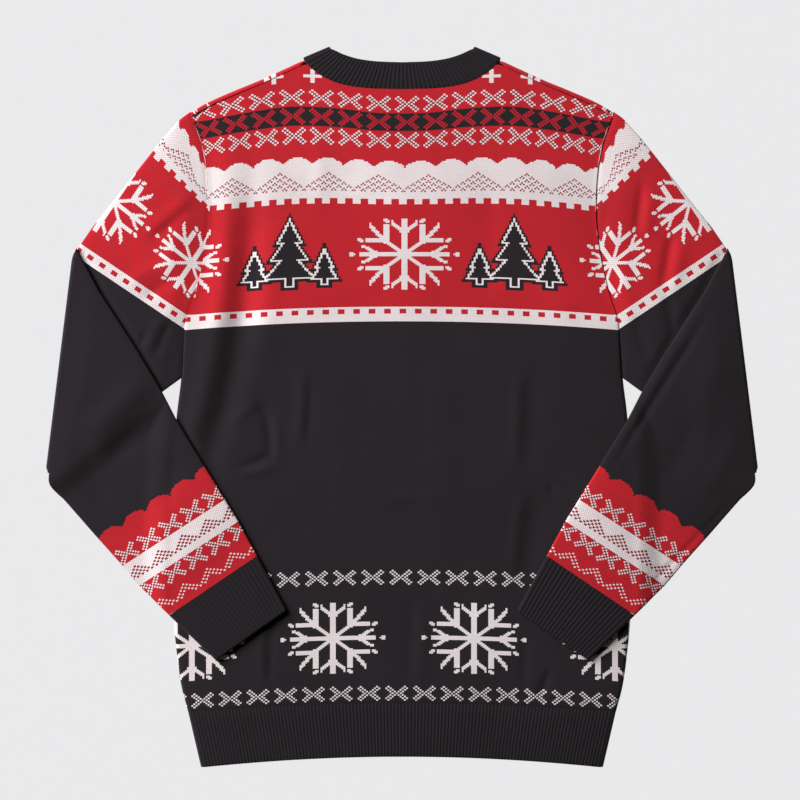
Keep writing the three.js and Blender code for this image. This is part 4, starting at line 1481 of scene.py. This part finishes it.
def make_front_panel(context):
    piece = cloth_grid("front_panel_knit", FRONT_COLUMNS, FRONT_ROWS, front_panel_place)
    give_wall(piece, context.scene.sweater_sizes.cloth_wall, even=False)
    finish(piece, knit(context, "body", BODY_BIRDSEYE), ["front_panel"])


def make_hems(context):
    wall = context.scene.sweater_sizes.rib_wall
    back = cloth_grid("back_hem_rib", HEM_RIBS * RIB_COLUMNS + 2 * HEM_ROLL_COLUMNS, HEM_ROWS, back_hem_place)
    give_wall(back, wall)
    finish(back, rib_knit(context), ["back_hem"])
    front = cloth_grid("front_hem_rib", HEM_RIBS * 2, HEM_ROWS, front_hem_place)
    give_wall(front, wall)
    finish(front, rib_knit(context), ["front_hem"])


def make_neckband(context):
    piece = cloth_grid("neckband_rib", BAND_COLUMNS, BAND_ROWS, neckband_place)
    merge_doubles(piece)
    finish(piece, rib_knit(context), ["neckband"])


def make_sleeve(context, side, mirror):
    def place(around, rows):
        return sleeve_place(around, rows, side)

    piece = cloth_grid("sleeve_knit_" + side, SLEEVE_COLUMNS, SLEEVE_ROWS, place, mirror)
    merge_doubles(piece)
    give_wall(piece, context.scene.sweater_sizes.cloth_wall, even=False)
    finish(piece, knit(context, "sleeve", SLEEVE_BIRDSEYE), ["sleeve_" + side])


def make_cuff(context, side, mirror):
    piece = cloth_grid("cuff_rib_" + side, CUFF_COLUMNS, CUFF_ROWS, cuff_place, mirror)
    merge_doubles(piece)
    give_wall(piece, context.scene.sweater_sizes.cuff_wall)
    finish(piece, rib_knit(context), ["cuff_" + side])


def add_light(name, place, aim, size, energy):
    way = Vector(aim) - Vector(place)
    bpy.ops.object.light_add(type="AREA", location=place, rotation=way.to_track_quat("-Z", "Y").to_euler())
    lamp = bpy.context.object
    lamp.name = name
    lamp.data.size = size
    lamp.data.energy = energy


def make_stage(context):
    bpy.ops.object.select_all(action="DESELECT")
    bpy.ops.mesh.primitive_plane_add(size=FLOOR_SIZE, location=(0, 0, 0))
    floor = bpy.context.object
    floor.name = "floor"
    floor.data.materials.append(floor_material())
    add_light("window", KEY_PLACE, KEY_AIM, KEY_SIZE, KEY_POWER)
    world = bpy.data.worlds.new("soft light")
    context.scene.world = world
    world.use_nodes = True
    world.node_tree.nodes["Background"].inputs["Strength"].default_value = FILL
    bpy.ops.object.camera_add(location=CAMERA_PLACE, rotation=(0, 0, 0))
    camera = bpy.context.object
    camera.data.lens = CAMERA_LENS
    camera.data.sensor_width = CAMERA_SENSOR
    context.scene.camera = camera
    context.scene.view_settings.view_transform = "Standard"


# Operators and the sidebar


class SWEATER_OT_front_panel(bpy.types.Operator):
    """Front of the body, which lies on the floor and laps over the shoulders"""

    bl_idname = "sweater.front_panel"
    bl_label = "Front Panel"

    def execute(self, context):
        make_front_panel(context)
        return {"FINISHED"}


class SWEATER_OT_back_panel(bpy.types.Operator):
    """Back of the body, with its patterned yoke"""

    bl_idname = "sweater.back_panel"
    bl_label = "Back Panel"

    def execute(self, context):
        make_back_panel(context)
        return {"FINISHED"}


class SWEATER_OT_hems(bpy.types.Operator):
    """Ribbed hems of the back and front"""

    bl_idname = "sweater.hems"
    bl_label = "Hems"

    def execute(self, context):
        make_hems(context)
        return {"FINISHED"}


class SWEATER_OT_neckband(bpy.types.Operator):
    """Doubled ribbed band round the neck"""

    bl_idname = "sweater.neckband"
    bl_label = "Neckband"

    def execute(self, context):
        make_neckband(context)
        return {"FINISHED"}


class SWEATER_OT_sleeves(bpy.types.Operator):
    """Both sleeves, folded at the elbow over the back"""

    bl_idname = "sweater.sleeves"
    bl_label = "Sleeves"

    def execute(self, context):
        for side, mirror in SIDES_MADE:
            make_sleeve(context, side, mirror)
        return {"FINISHED"}


class SWEATER_OT_cuffs(bpy.types.Operator):
    """Ribbed cuffs at the ends of the sleeves"""

    bl_idname = "sweater.cuffs"
    bl_label = "Cuffs"

    def execute(self, context):
        for side, mirror in SIDES_MADE:
            make_cuff(context, side, mirror)
        return {"FINISHED"}


class SWEATER_OT_stage(bpy.types.Operator):
    """Paper floor, window light and the camera above"""

    bl_idname = "sweater.stage"
    bl_label = "Stage"

    def execute(self, context):
        make_stage(context)
        return {"FINISHED"}


OPERATORS = (
    SWEATER_OT_front_panel,
    SWEATER_OT_back_panel,
    SWEATER_OT_hems,
    SWEATER_OT_neckband,
    SWEATER_OT_sleeves,
    SWEATER_OT_cuffs,
    SWEATER_OT_stage,
)


class SWEATER_PT_parts(bpy.types.Panel):
    """Lists the sweater's pieces, sizes and yarns"""

    bl_label = "Christmas Sweater"
    bl_idname = "SWEATER_PT_parts"
    bl_space_type = "VIEW_3D"
    bl_region_type = "UI"
    bl_category = "Sweater"

    def draw(self, context):
        for operator in OPERATORS:
            self.layout.operator(operator.bl_idname)
        for settings in (context.scene.sweater_sizes, context.scene.sweater_yarns):
            box = self.layout.box()
            for name in settings.__annotations__:
                box.prop(settings, name)


CLASSES = (SweaterSizes, SweaterYarns, *OPERATORS, SWEATER_PT_parts)


def register():
    for cls in CLASSES:
        bpy.utils.register_class(cls)
    bpy.types.Scene.sweater_sizes = bpy.props.PointerProperty(type=SweaterSizes)
    bpy.types.Scene.sweater_yarns = bpy.props.PointerProperty(type=SweaterYarns)


def unregister():
    del bpy.types.Scene.sweater_yarns
    del bpy.types.Scene.sweater_sizes
    for cls in reversed(CLASSES):
        bpy.utils.unregister_class(cls)


def main():
    register()
    bpy.ops.sweater.front_panel()
    bpy.ops.sweater.back_panel()
    bpy.ops.sweater.hems()
    bpy.ops.sweater.neckband()
    bpy.ops.sweater.sleeves()
    bpy.ops.sweater.cuffs()
    bpy.ops.sweater.stage()


if __name__ == "__main__":
    main()
